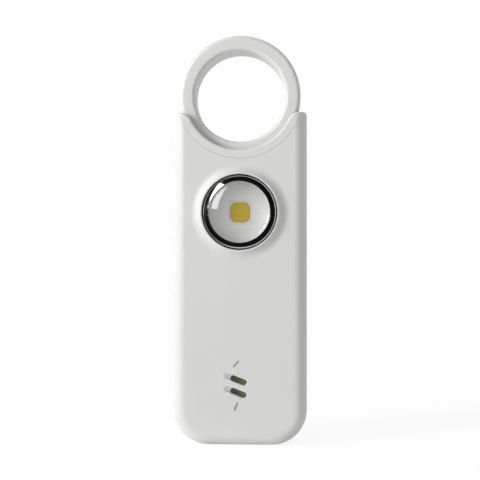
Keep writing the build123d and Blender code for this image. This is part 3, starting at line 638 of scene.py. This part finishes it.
def settle(piece, modifier, corner):
    """Keeps what a modifier makes of a piece, shaded smooth up to a corner angle in degrees."""
    grown = piece.evaluated_get(bpy.context.evaluated_depsgraph_get())
    old, mesh = piece.data, bpy.data.meshes.new_from_object(grown)
    piece.modifiers.remove(modifier)
    piece.data = mesh
    bpy.data.meshes.remove(old)
    mesh.name = piece.name
    mesh.shade_smooth()
    mesh.set_sharp_from_angle(angle=math.radians(corner))
    print(piece.name, len(mesh.polygons), "faces")


def run_tree(piece, tree, corner=RUN_CORNER, **values):
    """Runs a tree on a piece with its named inputs set."""
    modifier = piece.modifiers.new(tree.name, "NODES")
    modifier.node_group = tree
    for socket in tree.interface.items_tree:
        if socket.in_out == "INPUT" and socket.name.replace(" ", "_") in values:
            modifier[socket.identifier] = values[socket.name.replace(" ", "_")]
    settle(piece, modifier, corner)
    return piece


def hand_over(piece, node):
    """Hangs a piece on the housing and hides the solid that it stands for."""
    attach(piece, "housing")
    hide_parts(node)


# %% [markdown]
# ## The lathe
#
# A profile is drawn as points of radius and depth in millimetres, where depth is the frame's
# Y. Swept along a circle it becomes a closed ring, and where it touches the axis its points
# are merged into one. The circle lies flat, so the result is stood up and moved to the axis.

# %% Lathe tree
LATHE_RADIUS = 5 * MM
MERGE_GAP, WELD_GAP = 0.001 * MM, 0.0005 * MM
FRONT, OUT, BACK = -90, 0, 90

lathe, given, result = new_tree("lathe", Steps="Int", Middle_Radius="Float", Finish="Material")
circle = lathe.nodes.new("GeometryNodeCurvePrimitiveCircle")
profile = lathe.nodes.new("GeometryNodeMeshToCurve")
sweep = lathe.nodes.new("GeometryNodeCurveToMesh")
merge = add_node(lathe, "GeometryNodeMergeByDistance", Distance=MERGE_GAP)
join(lathe, given["Steps"], circle.inputs["Resolution"], given["Middle Radius"], circle.inputs["Radius"])
join(lathe, given["Geometry"], profile.inputs[0], circle.outputs[0], sweep.inputs["Curve"])
join(lathe, profile.outputs[0], sweep.inputs["Profile Curve"], sweep.outputs[0], merge.inputs[0])
close_tree(lathe, merge.outputs[0], given["Finish"], result)


def arc(centre, radius, start, end, steps):
    """Points along an arc, with angles in degrees between FRONT, OUT and BACK."""
    turns = [math.radians(start + (end - start) * i / steps) for i in range(steps + 1)]
    return [(centre[0] + radius * math.cos(t), centre[1] + radius * math.sin(t)) for t in turns]


def turned(name, points, axis_place, material, steps, closed=False):
    """A piece turned on the lathe about a front-to-back axis; points are (radius, depth) in mm."""
    corners = [(r * MM - LATHE_RADIUS, y * MM, 0) for r, y in points]
    edges = [(i, i + 1) for i in range(len(corners) - 1)] + [(len(corners) - 1, 0)] * closed
    drawn_line = new_object(name, corners, edges)
    piece = run_tree(drawn_line, lathe, Steps=steps, Middle_Radius=LATHE_RADIUS, Finish=material)
    stand_up = Matrix.Translation(axis_place) @ Matrix.Rotation(math.radians(90), 4, "X")
    piece.data.transform(stand_up)
    outward(piece)
    return piece


def outward(piece):
    """Turns all faces outwards."""
    work = bmesh.new()
    work.from_mesh(piece.data)
    bmesh.ops.remove_doubles(work, verts=work.verts, dist=WELD_GAP)
    bmesh.ops.recalc_face_normals(work, faces=work.faces)
    work.to_mesh(piece.data)
    work.free()


# %% [markdown]
# ## Lens
#
# The lens is one solid drop of clear plastic: a domed front, a short barrel and a flange that
# the chrome ring holds down. Being solid, it bends the view of the bowl so that the bowl seems
# to fill it from edge to edge, which a thin watch-glass would not do. The crown is part of a
# large sphere, found from its height and half width.

# %% Lens
LENS_HALF, LENS_CROWN, LENS_FLANGE = 7.9, 1.9, 0.7
LENS_ROUND, ROUND_START = 0.12, -50

lamp_low, lamp_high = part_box("lamp_lens")
lamp_place = Vector((0, 0, (lamp_low.z + lamp_high.z) / 2))
lens_front, lens_back = lamp_low.y / MM, lamp_high.y / MM
flange_half = (lamp_high.x - lamp_low.x) / 2 / MM
crown_radius = (LENS_HALF**2 + LENS_CROWN**2) / (2 * LENS_CROWN)
crown_edge = math.degrees(math.asin((LENS_HALF - LENS_ROUND) / crown_radius))
crown = arc((0, lens_front + crown_radius), crown_radius, FRONT, FRONT + crown_edge, 24)
rim_y = crown[-1][1] + LENS_ROUND
flange_front = lens_back - LENS_FLANGE
lens_profile = [
    *crown,
    *arc((LENS_HALF - LENS_ROUND, rim_y), LENS_ROUND, ROUND_START, OUT, 4),
    (LENS_HALF, flange_front),
    (flange_half, flange_front),
    (flange_half, lens_back),
    (0, lens_back),
]
lens = turned("lens", lens_profile, lamp_place, clear_dome, steps=160)
hand_over(lens, "lamp_lens")

# %% [markdown]
# ## Chrome ring
#
# In the photograph the ring reads as a black band with a thin bright line near its outer edge
# and a thin dark line outside that. Polished metal has no tone of its own, only what it
# mirrors. A band that slopes outwards mirrors the dark cards, and a small rounded step beyond
# it catches the white of the room. So the profile has a sloped band, a rounded step and a low
# shoulder. The band is crowned by a few degrees, because a true cone would mirror a single
# line of the studio, and a plain torus would show all of it at once.

# %% Chrome ring
RING_IN, BAND_OUT = 8.0, 9.3
BAND_TILT, BAND_CROWN, STEP_ROUND, EDGE = 30.0, 3.0, 0.6, 0.08

ring_low, ring_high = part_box("lamp_bezel")
ring_out = (ring_high.x - ring_low.x) / 2 / MM
ring_front, ring_back = ring_low.y / MM, ring_high.y / MM
band_in = RING_IN + EDGE
inner_tilt, outer_tilt = BAND_TILT - BAND_CROWN, BAND_TILT + BAND_CROWN
inner_turn, outer_turn = math.radians(inner_tilt), math.radians(outer_tilt)
band_round = (BAND_OUT - band_in) / (math.sin(outer_turn) - math.sin(inner_turn))
band_centre = band_in - band_round * math.sin(inner_turn), ring_front + band_round * math.cos(inner_turn)
band_end = band_centre[1] - band_round * math.cos(outer_turn)
step_centre = BAND_OUT - STEP_ROUND * math.sin(outer_turn), band_end + STEP_ROUND * math.cos(outer_turn)
ring_profile = [
    (RING_IN, ring_back),
    (RING_IN, ring_front + EDGE),
    *arc(band_centre, band_round, FRONT + inner_tilt, FRONT + outer_tilt, 8),
    *arc(step_centre, STEP_ROUND, FRONT + outer_tilt, OUT, 12)[1:],
    *arc((ring_out - EDGE, step_centre[1] + EDGE), EDGE, FRONT, OUT, 5),
    (ring_out, ring_back),
]
chrome_ring = turned("chrome_ring", ring_profile, lamp_place, chrome, steps=160, closed=True)
hand_over(chrome_ring, "lamp_bezel")

# %% [markdown]
# ## Setting small parts in place
#
# Screws, chip legs and resistors are each one small shape at several places. Copying objects
# by hand would do, but a tree keeps the places in one list. It puts a master mesh at every
# point of a piece, turned about the front-to-back axis by a random angle from a fixed seed.
# The greatest turn is an input, and is nought for what a machine has placed.

# %% Setting tree
setter, given, result = new_tree(
    "setter", Piece="Object", Seed="Int", Most_Turn="Float", Finish="Material"
)
source = setter.nodes.new("GeometryNodeObjectInfo")
turn = setter.nodes.new("FunctionNodeRandomValue")
angle = setter.nodes.new("ShaderNodeCombineXYZ")
place_all = setter.nodes.new("GeometryNodeInstanceOnPoints")
join(setter, given["Piece"], source.inputs["Object"], given["Seed"], turn.inputs["Seed"])
join(setter, given["Most Turn"], turn.inputs[3], turn.outputs[1], angle.inputs["Y"])
join(setter, given["Geometry"], place_all.inputs["Points"])
join(setter, source.outputs["Geometry"], place_all.inputs["Instance"])
join(setter, angle.outputs[0], place_all.inputs["Rotation"])
close_tree(setter, place_all.outputs[0], given["Finish"], result)


def set_at(name, places, master, material, seed=0, most_turn=0.0):
    """Copies of a master mesh at a list of places, as one piece."""
    points = new_object(name, places)
    return run_tree(points, setter, Piece=master, Seed=seed, Most_Turn=most_turn, Finish=material)


def retire(*masters):
    """Removes masters once their copies are made."""
    for master in masters:
        bpy.data.objects.remove(master)


# %% [markdown]
# ## Screws
#
# Four pan-head screws close the casing from the back and two hold the board. Each head is a
# shallow turned dome with a cross cut into it by the Boolean modifier's exact solver, which
# copes with faces that touch. The cross is cut once, from one head, and the setting tree puts
# a copy at each place with its cross at its own angle, as a screwdriver leaves them.

# %% Screws
CUT_CORNER = 30
CASE_SCREW = {"head": 1.6, "thickness": 1.4, "shank": 0.85, "length": 8.0, "crown": 0.35}
BOARD_SCREW = {"head": 1.3, "thickness": 0.9, "shank": 0.7, "length": 3.8, "crown": 0.25}
TIP_SHARE, SHOULDER_SHARE, DROP_SHARE, FACE_SHARE, FACE_DROP = 0.6, 0.93, 0.55, 0.7, 0.08
REACH_SHARE, WIDTH_SHARE, DEPTH_SHARE, CUT_OVERRUN = 0.6, 0.15, 0.5, 0.5
QUARTER_TURN = math.pi / 2


def cut_from(piece, cutter):
    """Takes a cutter out of a piece and removes the cutter."""
    cut = piece.modifiers.new("cut", "BOOLEAN")
    cut.operation, cut.solver, cut.object = "DIFFERENCE", "EXACT", cutter
    settle(piece, cut, CUT_CORNER)
    retire(cutter)


def cross_screw(name, head, thickness, shank, length, crown):
    """One screw at the origin that drives forwards, with its head behind it; sizes in mm."""
    tip = shank * TIP_SHARE
    outline = [
        (0, -length), (tip, -length), (shank, -length + tip), (shank, 0), (head, 0),
        (head, thickness - crown), (head * SHOULDER_SHARE, thickness - crown * DROP_SHARE),
        (head * FACE_SHARE, thickness - FACE_DROP), (0, thickness),
    ]
    body = turned(name, outline, Vector(), screw_steel, steps=40)
    reach, width = head * REACH_SHARE * MM, head * WIDTH_SHARE * MM
    low, high = (thickness - thickness * DEPTH_SHARE) * MM, (thickness + CUT_OVERRUN) * MM
    box_faces = [(0, 1, 3, 2), (4, 6, 7, 5), (0, 4, 5, 1), (2, 3, 7, 6), (0, 2, 6, 4), (1, 5, 7, 3)]
    for half_x, half_z in ((reach, width), (width, reach)):
        bar = [(x * half_x, y, z * half_z) for x in (-1, 1) for y in (low, high) for z in (-1, 1)]
        cutter = new_object("cross_bar", bar, [], box_faces)
        outward(cutter)
        cut_from(body, cutter)
    return body


def screw_places(node, screw, rows):
    """Where a node's screw heads sit: two columns, and rows at its box's top or bottom."""
    low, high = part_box(node)
    head, seat = screw["head"] * MM, high.y - screw["thickness"] * MM
    heights = {"top": high.z - head, "bottom": low.z + head}
    return [(x, seat, heights[row]) for x in (low.x + head, high.x - head) for row in rows]


case_master = cross_screw("case_screw_master", **CASE_SCREW)
case_places = screw_places("case_screws", CASE_SCREW, ("top", "bottom"))
screws = set_at("casing_screws", case_places, case_master, screw_steel, seed=7, most_turn=QUARTER_TURN)
hand_over(screws, "case_screws")

board_master = cross_screw("board_screw_master", **BOARD_SCREW)
board_places = screw_places("board_screws", BOARD_SCREW, ("top",))
fixings = set_at("board_fixings", board_places, board_master, screw_steel, seed=3, most_turn=QUARTER_TURN)
hand_over(fixings, "board_screws")
retire(case_master, board_master)

# %% [markdown]
# ## Board parts
#
# With the casing open the board is the busiest place, so its parts get their real make-up.
# What isn't turned is drawn as an outline in the front view and given a depth, with its edges
# rounded a little, as on anything moulded or pressed. The places are read from the CAD boxes,
# so that each piece stays where its solid is.

# %% Blocks and prisms
PRISM_CORNER, BEVEL_SEGMENTS = 40, 3


def prism(name, outline, depths, material, bevel=0.0):
    """An outline in the front view, in mm, drawn out between two depths, with rounded edges."""
    count = len(outline)
    vertices = [(x * MM, y * MM, z * MM) for y in depths for x, z in outline]
    sides = [(i, (i + 1) % count, (i + 1) % count + count, i + count) for i in range(count)]
    caps = [tuple(range(count)), tuple(range(2 * count - 1, count - 1, -1))]
    piece = new_object(name, vertices, [], sides + caps)
    work = bmesh.new()
    work.from_mesh(piece.data)
    if bevel:
        edges, width = work.edges[:], bevel * MM
        bmesh.ops.bevel(
            work, geom=edges, offset=width, segments=BEVEL_SEGMENTS, affect="EDGES", profile=0.5
        )
    bmesh.ops.recalc_face_normals(work, faces=work.faces)
    work.to_mesh(piece.data)
    work.free()
    piece.data.materials.append(material)
    piece.data.shade_smooth()
    piece.data.set_sharp_from_angle(angle=math.radians(PRISM_CORNER))
    print(name, len(piece.data.polygons), "faces")
    return piece


def oblong(centre, half_x, half_z):
    """The corners of a rectangle in the front view."""
    x, z = centre
    left, right, bottom, top = x - half_x, x + half_x, z - half_z, z + half_z
    return [(left, bottom), (right, bottom), (right, top), (left, top)]


def put_right(piece, change):
    """Applies a turn or shift to a piece's mesh, so that the piece stays at the origin."""
    piece.data.transform(change)
    outward(piece)


def box_mm(node):
    """A node's box in millimetres: low corner, high corner, middle."""
    low, high = (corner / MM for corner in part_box(node))
    return low, high, (low + high) / 2


# %% [markdown]
# ## Chip and its legs
#
# The driver chip is a black epoxy body with a round dimple beside its first leg, and four
# tinned legs on each long side that step down to the board. The legs are stamped alike, so one
# leg is drawn from the side and the setting tree repeats it. The lower row is its mirror
# image, with the faces turned outwards again, because mirroring turns them in.

# %% Chip and its legs
CHIP_HALF_X, CHIP_HALF_Z, CHIP_BEVEL, CHIP_STAND = 2.45, 1.95, 0.1, 0.1
DIMPLE_X, DIMPLE_Z, DIMPLE_RADIUS, DIMPLE_DEPTH = 1.85, 1.35, 0.3, 0.15
LEG_PITCH, LEG_COUNT, LEG_HALF, LEG_THICK, LEG_SHOULDER = 1.27, 4, 0.2, 0.14, 0.6
LEG_ROOT, LEG_BEND, LEG_HEEL, LEG_SLANT = 0.1, 2.45, 2.65, 0.1

chip_low, chip_high, chip_middle = box_mm("control_chip")
chip_body = prism(
    "chip_body", oblong((0, chip_middle.z), CHIP_HALF_X, CHIP_HALF_Z),
    (chip_low.y + CHIP_STAND, chip_high.y), chip_black, CHIP_BEVEL,
)
dimple_corners = [
    (0, -DIMPLE_DEPTH), (DIMPLE_RADIUS, -DIMPLE_DEPTH), (DIMPLE_RADIUS, DIMPLE_DEPTH), (0, DIMPLE_DEPTH),
]
dimple_place = Vector((DIMPLE_X, chip_high.y, chip_middle.z + DIMPLE_Z)) * MM
dimple = turned("dimple", dimple_corners, dimple_place, chip_black, steps=24)
cut_from(chip_body, dimple)
hand_over(chip_body, "control_chip")

leg_reach = chip_high.z - chip_middle.z
leg_start, leg_top = CHIP_HALF_Z - LEG_ROOT, LEG_SHOULDER + LEG_THICK
leg_side = [
    (leg_reach, 0), (leg_reach, LEG_THICK), (LEG_HEEL + LEG_SLANT, LEG_THICK),
    (LEG_BEND + LEG_SLANT, leg_top), (leg_start, leg_top), (leg_start, LEG_SHOULDER),
    (LEG_BEND, LEG_SHOULDER), (LEG_HEEL, 0),
]
side_to_front = Matrix(((0, 1, 0, 0), (0, 0, 1, 0), (1, 0, 0, 0), (0, 0, 0, 1)))
upper_leg = prism("upper_leg", leg_side, (-LEG_HALF, LEG_HALF), contact_steel)
put_right(upper_leg, side_to_front)
leg_columns = [(i - (LEG_COUNT - 1) / 2) * LEG_PITCH for i in range(LEG_COUNT)]
leg_places = [(x * MM, chip_low.y * MM, chip_middle.z * MM) for x in leg_columns]
lower_leg = added("lower_leg", upper_leg.data.copy())
put_right(lower_leg, Matrix.Scale(-1, 4, (0, 0, 1)))
for name, master in (("chip_legs_upper", upper_leg), ("chip_legs_lower", lower_leg)):
    legs = set_at(name, leg_places, master, contact_steel)
    hand_over(legs, "control_chip")
retire(upper_leg, lower_leg)

# %% [markdown]
# ## Resistors and small capacitors
#
# Each is a tiny ceramic brick with two metal ends that are soldered down. A brick wears two
# finishes, and a piece has one, so they are set as three pieces at the same places: the
# bodies, the upper ends and the lower ends.

# %% Small board parts
PART_HALF_X, PART_HALF_Z, PART_END, PART_PITCH = 0.4, 0.8, 0.3, 1.8
WAIST_INSET, WAIST_DROP, END_BEVEL = 0.02, 0.03, 0.05

part_low, part_high = box_mm("board_components")[:2]
part_columns = [side * (part_high.x - PART_HALF_X - step) for side in (-1, 1) for step in (0, PART_PITCH)]
part_rows = (part_low.z + PART_HALF_Z, part_high.z - PART_HALF_Z)
part_places = [(x * MM, part_low.y * MM, z * MM) for x in part_columns for z in part_rows]
part_height = part_high.y - part_low.y
waist_outline = oblong((0, 0), PART_HALF_X - WAIST_INSET, PART_HALF_Z - PART_END)
waist = prism("waist", waist_outline, (0, part_height - WAIST_DROP), small_parts)
bodies = set_at("small_part_bodies", part_places, waist, small_parts)
hand_over(bodies, "board_components")
for name, side in (("small_part_ends_upper", 1), ("small_part_ends_lower", -1)):
    end_outline = oblong((0, side * (PART_HALF_Z - PART_END / 2)), PART_HALF_X, PART_END / 2)
    end = prism(name + "_master", end_outline, (0, part_height), contact_steel, END_BEVEL)
    ends = set_at(name, part_places, end, contact_steel)
    hand_over(ends, "board_components")
    retire(end)
retire(waist)

# %% [markdown]
# ## Can capacitor
#
# An aluminium can is rolled in above its foot, where it grips its rubber bung, and its top
# edge is round. Both are in one lathe profile. The foot is black plastic with two cut corners
# that show which way round it goes, and a black segment on the top marks the minus side.

# %% Can capacitor
CAN_RADIUS, CAN_ROUND, FACE_INSET, FACE_SINK = 2.5, 0.3, 0.5, 0.04
FOOT_HALF, FOOT_HEIGHT, FOOT_CUT, FOOT_BEVEL = 2.65, 0.8, 0.9, 0.06
NECK_ROUND, NECK_OUT, NECK_UP, NECK_START, NECK_END = 0.25, 0.05, 0.85, -100, -260
MARK_RADIUS, MARK_START, MARK_SWEEP, MARK_STEPS = 1.9, 120, 120, 16
MARK_SUNK, MARK_PROUD = 0.05, 0.01

can_low, can_high, can_middle = box_mm("smoothing_capacitor")
foot_top = can_low.y + FOOT_HEIGHT
cut_start = FOOT_HALF - FOOT_CUT
foot_corners = [
    (-FOOT_HALF, -FOOT_HALF), (FOOT_HALF, -FOOT_HALF), (FOOT_HALF, cut_start),
    (cut_start, FOOT_HALF), (-cut_start, FOOT_HALF), (-FOOT_HALF, cut_start),
]
foot_outline = [(can_middle.x + x, can_middle.z + z) for x, z in foot_corners]
foot = prism("can_foot", foot_outline, (can_low.y, foot_top), chip_black, FOOT_BEVEL)
hand_over(foot, "smoothing_capacitor")
can_axis = Vector((can_middle.x, 0, can_middle.z)) * MM
face_y = can_high.y - FACE_SINK
can_profile = [
    (0, foot_top), (CAN_RADIUS, foot_top), (CAN_RADIUS, foot_top + NECK_UP - NECK_ROUND),
    *arc((CAN_RADIUS + NECK_OUT, foot_top + NECK_UP), NECK_ROUND, NECK_START, NECK_END, 8),
    *arc((CAN_RADIUS - CAN_ROUND, can_high.y - CAN_ROUND), CAN_ROUND, OUT, BACK, 6),
    (CAN_RADIUS - FACE_INSET, face_y), (0, face_y),
]
can = turned("can", can_profile, can_axis, can_aluminium, steps=64)
hand_over(can, "smoothing_capacitor")
mark_turns = [math.radians(MARK_START + MARK_SWEEP * i / MARK_STEPS) for i in range(MARK_STEPS + 1)]
mark_outline = [
    (can_middle.x + MARK_RADIUS * math.cos(t), can_middle.z + MARK_RADIUS * math.sin(t))
    for t in mark_turns
]
mark_depths = can_high.y - MARK_SUNK, can_high.y - MARK_PROUD
minus_mark = prism("can_minus", mark_outline, mark_depths, chip_black)
hand_over(minus_mark, "smoothing_capacitor")

# %% [markdown]
# ## Transformer
#
# The winding is one enamelled wire in close turns, so it is made as one: a spiral curve with
# no change in radius is a helix, and a small circle swept along it is the wire. A stack of
# rings would look alike from afar, but its turns would never climb from end to end.

# %% Coil tree
STEPS_PER_TURN, WIRE_SIDES = 40, 10

coil, given, result = new_tree(
    "coil", Turns="Float", Coil_Radius="Float", Height="Float", Wire_Radius="Float", Finish="Material"
)
helix = add_node(coil, "GeometryNodeCurveSpiral", Resolution=STEPS_PER_TURN)
wire = add_node(coil, "GeometryNodeCurvePrimitiveCircle", Resolution=WIRE_SIDES)
wind = add_node(coil, "GeometryNodeCurveToMesh", Fill_Caps=True)
join(coil, given["Turns"], helix.inputs["Rotations"], given["Height"], helix.inputs["Height"])
for end in ("Start Radius", "End Radius"):
    join(coil, given["Coil Radius"], helix.inputs[end])
join(coil, given["Wire Radius"], wire.inputs["Radius"], helix.outputs[0], wind.inputs["Curve"])
join(coil, wire.outputs[0], wind.inputs["Profile Curve"])
close_tree(coil, wind.outputs[0], given["Finish"], result)

# %% [markdown]
# ## Winding and core
#
# The turns lie against each other, so their number comes from the height of the winding and
# the thickness of the wire. A turned sleeve below them stands for the inner layers. The
# ferrite drum is turned too, with rounded flanges, because ferrite is pressed from powder and
# keeps no sharp edge.

# %% Winding and core
WIRE_RADIUS, TURN_PITCH_SHARE, WIRE_CORNER = 0.12, 2.04, 60
CORE_NECK, CORE_FLANGE, CORE_ROUND = 1.5, 0.8, 0.18
SLEEVE_GAP, SLEEVE_DROP_SHARE = 0.05, 1.2

wound_low, wound_high, wound_middle = box_mm("transformer_winding")
wound_radius = wound_high.x - wound_middle.x
wound_height = wound_high.y - wound_low.y - 2 * WIRE_RADIUS
wound_axis = Vector((wound_middle.x, 0, wound_middle.z)) * MM
turns = math.floor(wound_height / (TURN_PITCH_SHARE * WIRE_RADIUS))
winding = run_tree(
    new_object("winding", [(0, 0, 0)]), coil, WIRE_CORNER, Turns=turns, Height=wound_height * MM,
    Coil_Radius=(wound_radius - WIRE_RADIUS) * MM, Wire_Radius=WIRE_RADIUS * MM, Finish=copper_wire,
)
last_turn = wound_axis + Vector((0, (wound_high.y - WIRE_RADIUS) * MM, 0))
put_right(winding, Matrix.Translation(last_turn) @ Matrix.Rotation(math.radians(90), 4, "X"))
print(turns, "turns of wire")
hand_over(winding, "transformer_winding")

sleeve_in, sleeve_out = CORE_NECK + SLEEVE_GAP, wound_radius - SLEEVE_DROP_SHARE * WIRE_RADIUS
front_y, back_y = wound_low.y, wound_high.y
sleeve_profile = [(sleeve_in, front_y), (sleeve_out, front_y), (sleeve_out, back_y), (sleeve_in, back_y)]
sleeve = turned("winding_sleeve", sleeve_profile, wound_axis, copper_wire, steps=64, closed=True)
hand_over(sleeve, "transformer_winding")

core_low, core_high, core_middle = box_mm("transformer_core")
round_out = core_high.x - core_middle.x - CORE_ROUND
neck_front, neck_back = core_low.y + CORE_FLANGE, core_high.y - CORE_FLANGE
rims = [
    *arc((round_out, core_low.y + CORE_ROUND), CORE_ROUND, FRONT, OUT, 4),
    *arc((round_out, neck_front - CORE_ROUND), CORE_ROUND, OUT, BACK, 4),
    (CORE_NECK, neck_front), (CORE_NECK, neck_back),
    *arc((round_out, neck_back + CORE_ROUND), CORE_ROUND, FRONT, OUT, 4),
    *arc((round_out, core_high.y - CORE_ROUND), CORE_ROUND, OUT, BACK, 4),
]
drum_profile = [(0, core_low.y), *rims, (0, core_high.y)]
drum = turned("ferrite_drum", drum_profile, wound_axis, ferrite, steps=64)
hand_over(drum, "transformer_core")

# %% [markdown]
# ## Coin cells
#
# A lithium cell is a shallow can with its smaller lid crimped in at the front, with a dark
# line of seal between them. One profile turned on the lathe gives both, and the two cells of
# the stack differ only in depth.

# %% Coin cells
LID_SHARE, CRIMP_SHARE, SEAL_DEPTH, CELL_ROUND = 0.86, 0.9, 0.4, 0.28
LID_EDGE, CRIMP_DROP, CRIMP_LIP = 0.1, 0.05, 0.12

for node in ("coin_cell_front", "coin_cell_rear"):
    cell_low, cell_high, cell_middle = box_mm(node)
    cell_out = cell_high.x - cell_middle.x
    lid, crimp, front = LID_SHARE * cell_out, CRIMP_SHARE * cell_out, cell_low.y
    cell_profile = [
        (0, front), (lid, front), (lid + LID_EDGE, front + LID_EDGE),
        (lid + LID_EDGE, front + SEAL_DEPTH), (crimp, front + SEAL_DEPTH), (crimp, front + CRIMP_LIP),
        *arc((cell_out - CELL_ROUND, front + CRIMP_DROP + CELL_ROUND), CELL_ROUND, FRONT, OUT, 6),
        *arc((cell_out - CELL_ROUND, cell_high.y - CELL_ROUND), CELL_ROUND, OUT, BACK, 6),
        (0, cell_high.y),
    ]
    cell_axis = Vector((cell_middle.x, 0, cell_middle.z)) * MM
    cell = turned(node + "_can", cell_profile, cell_axis, cell_steel, steps=96)
    hand_over(cell, node)
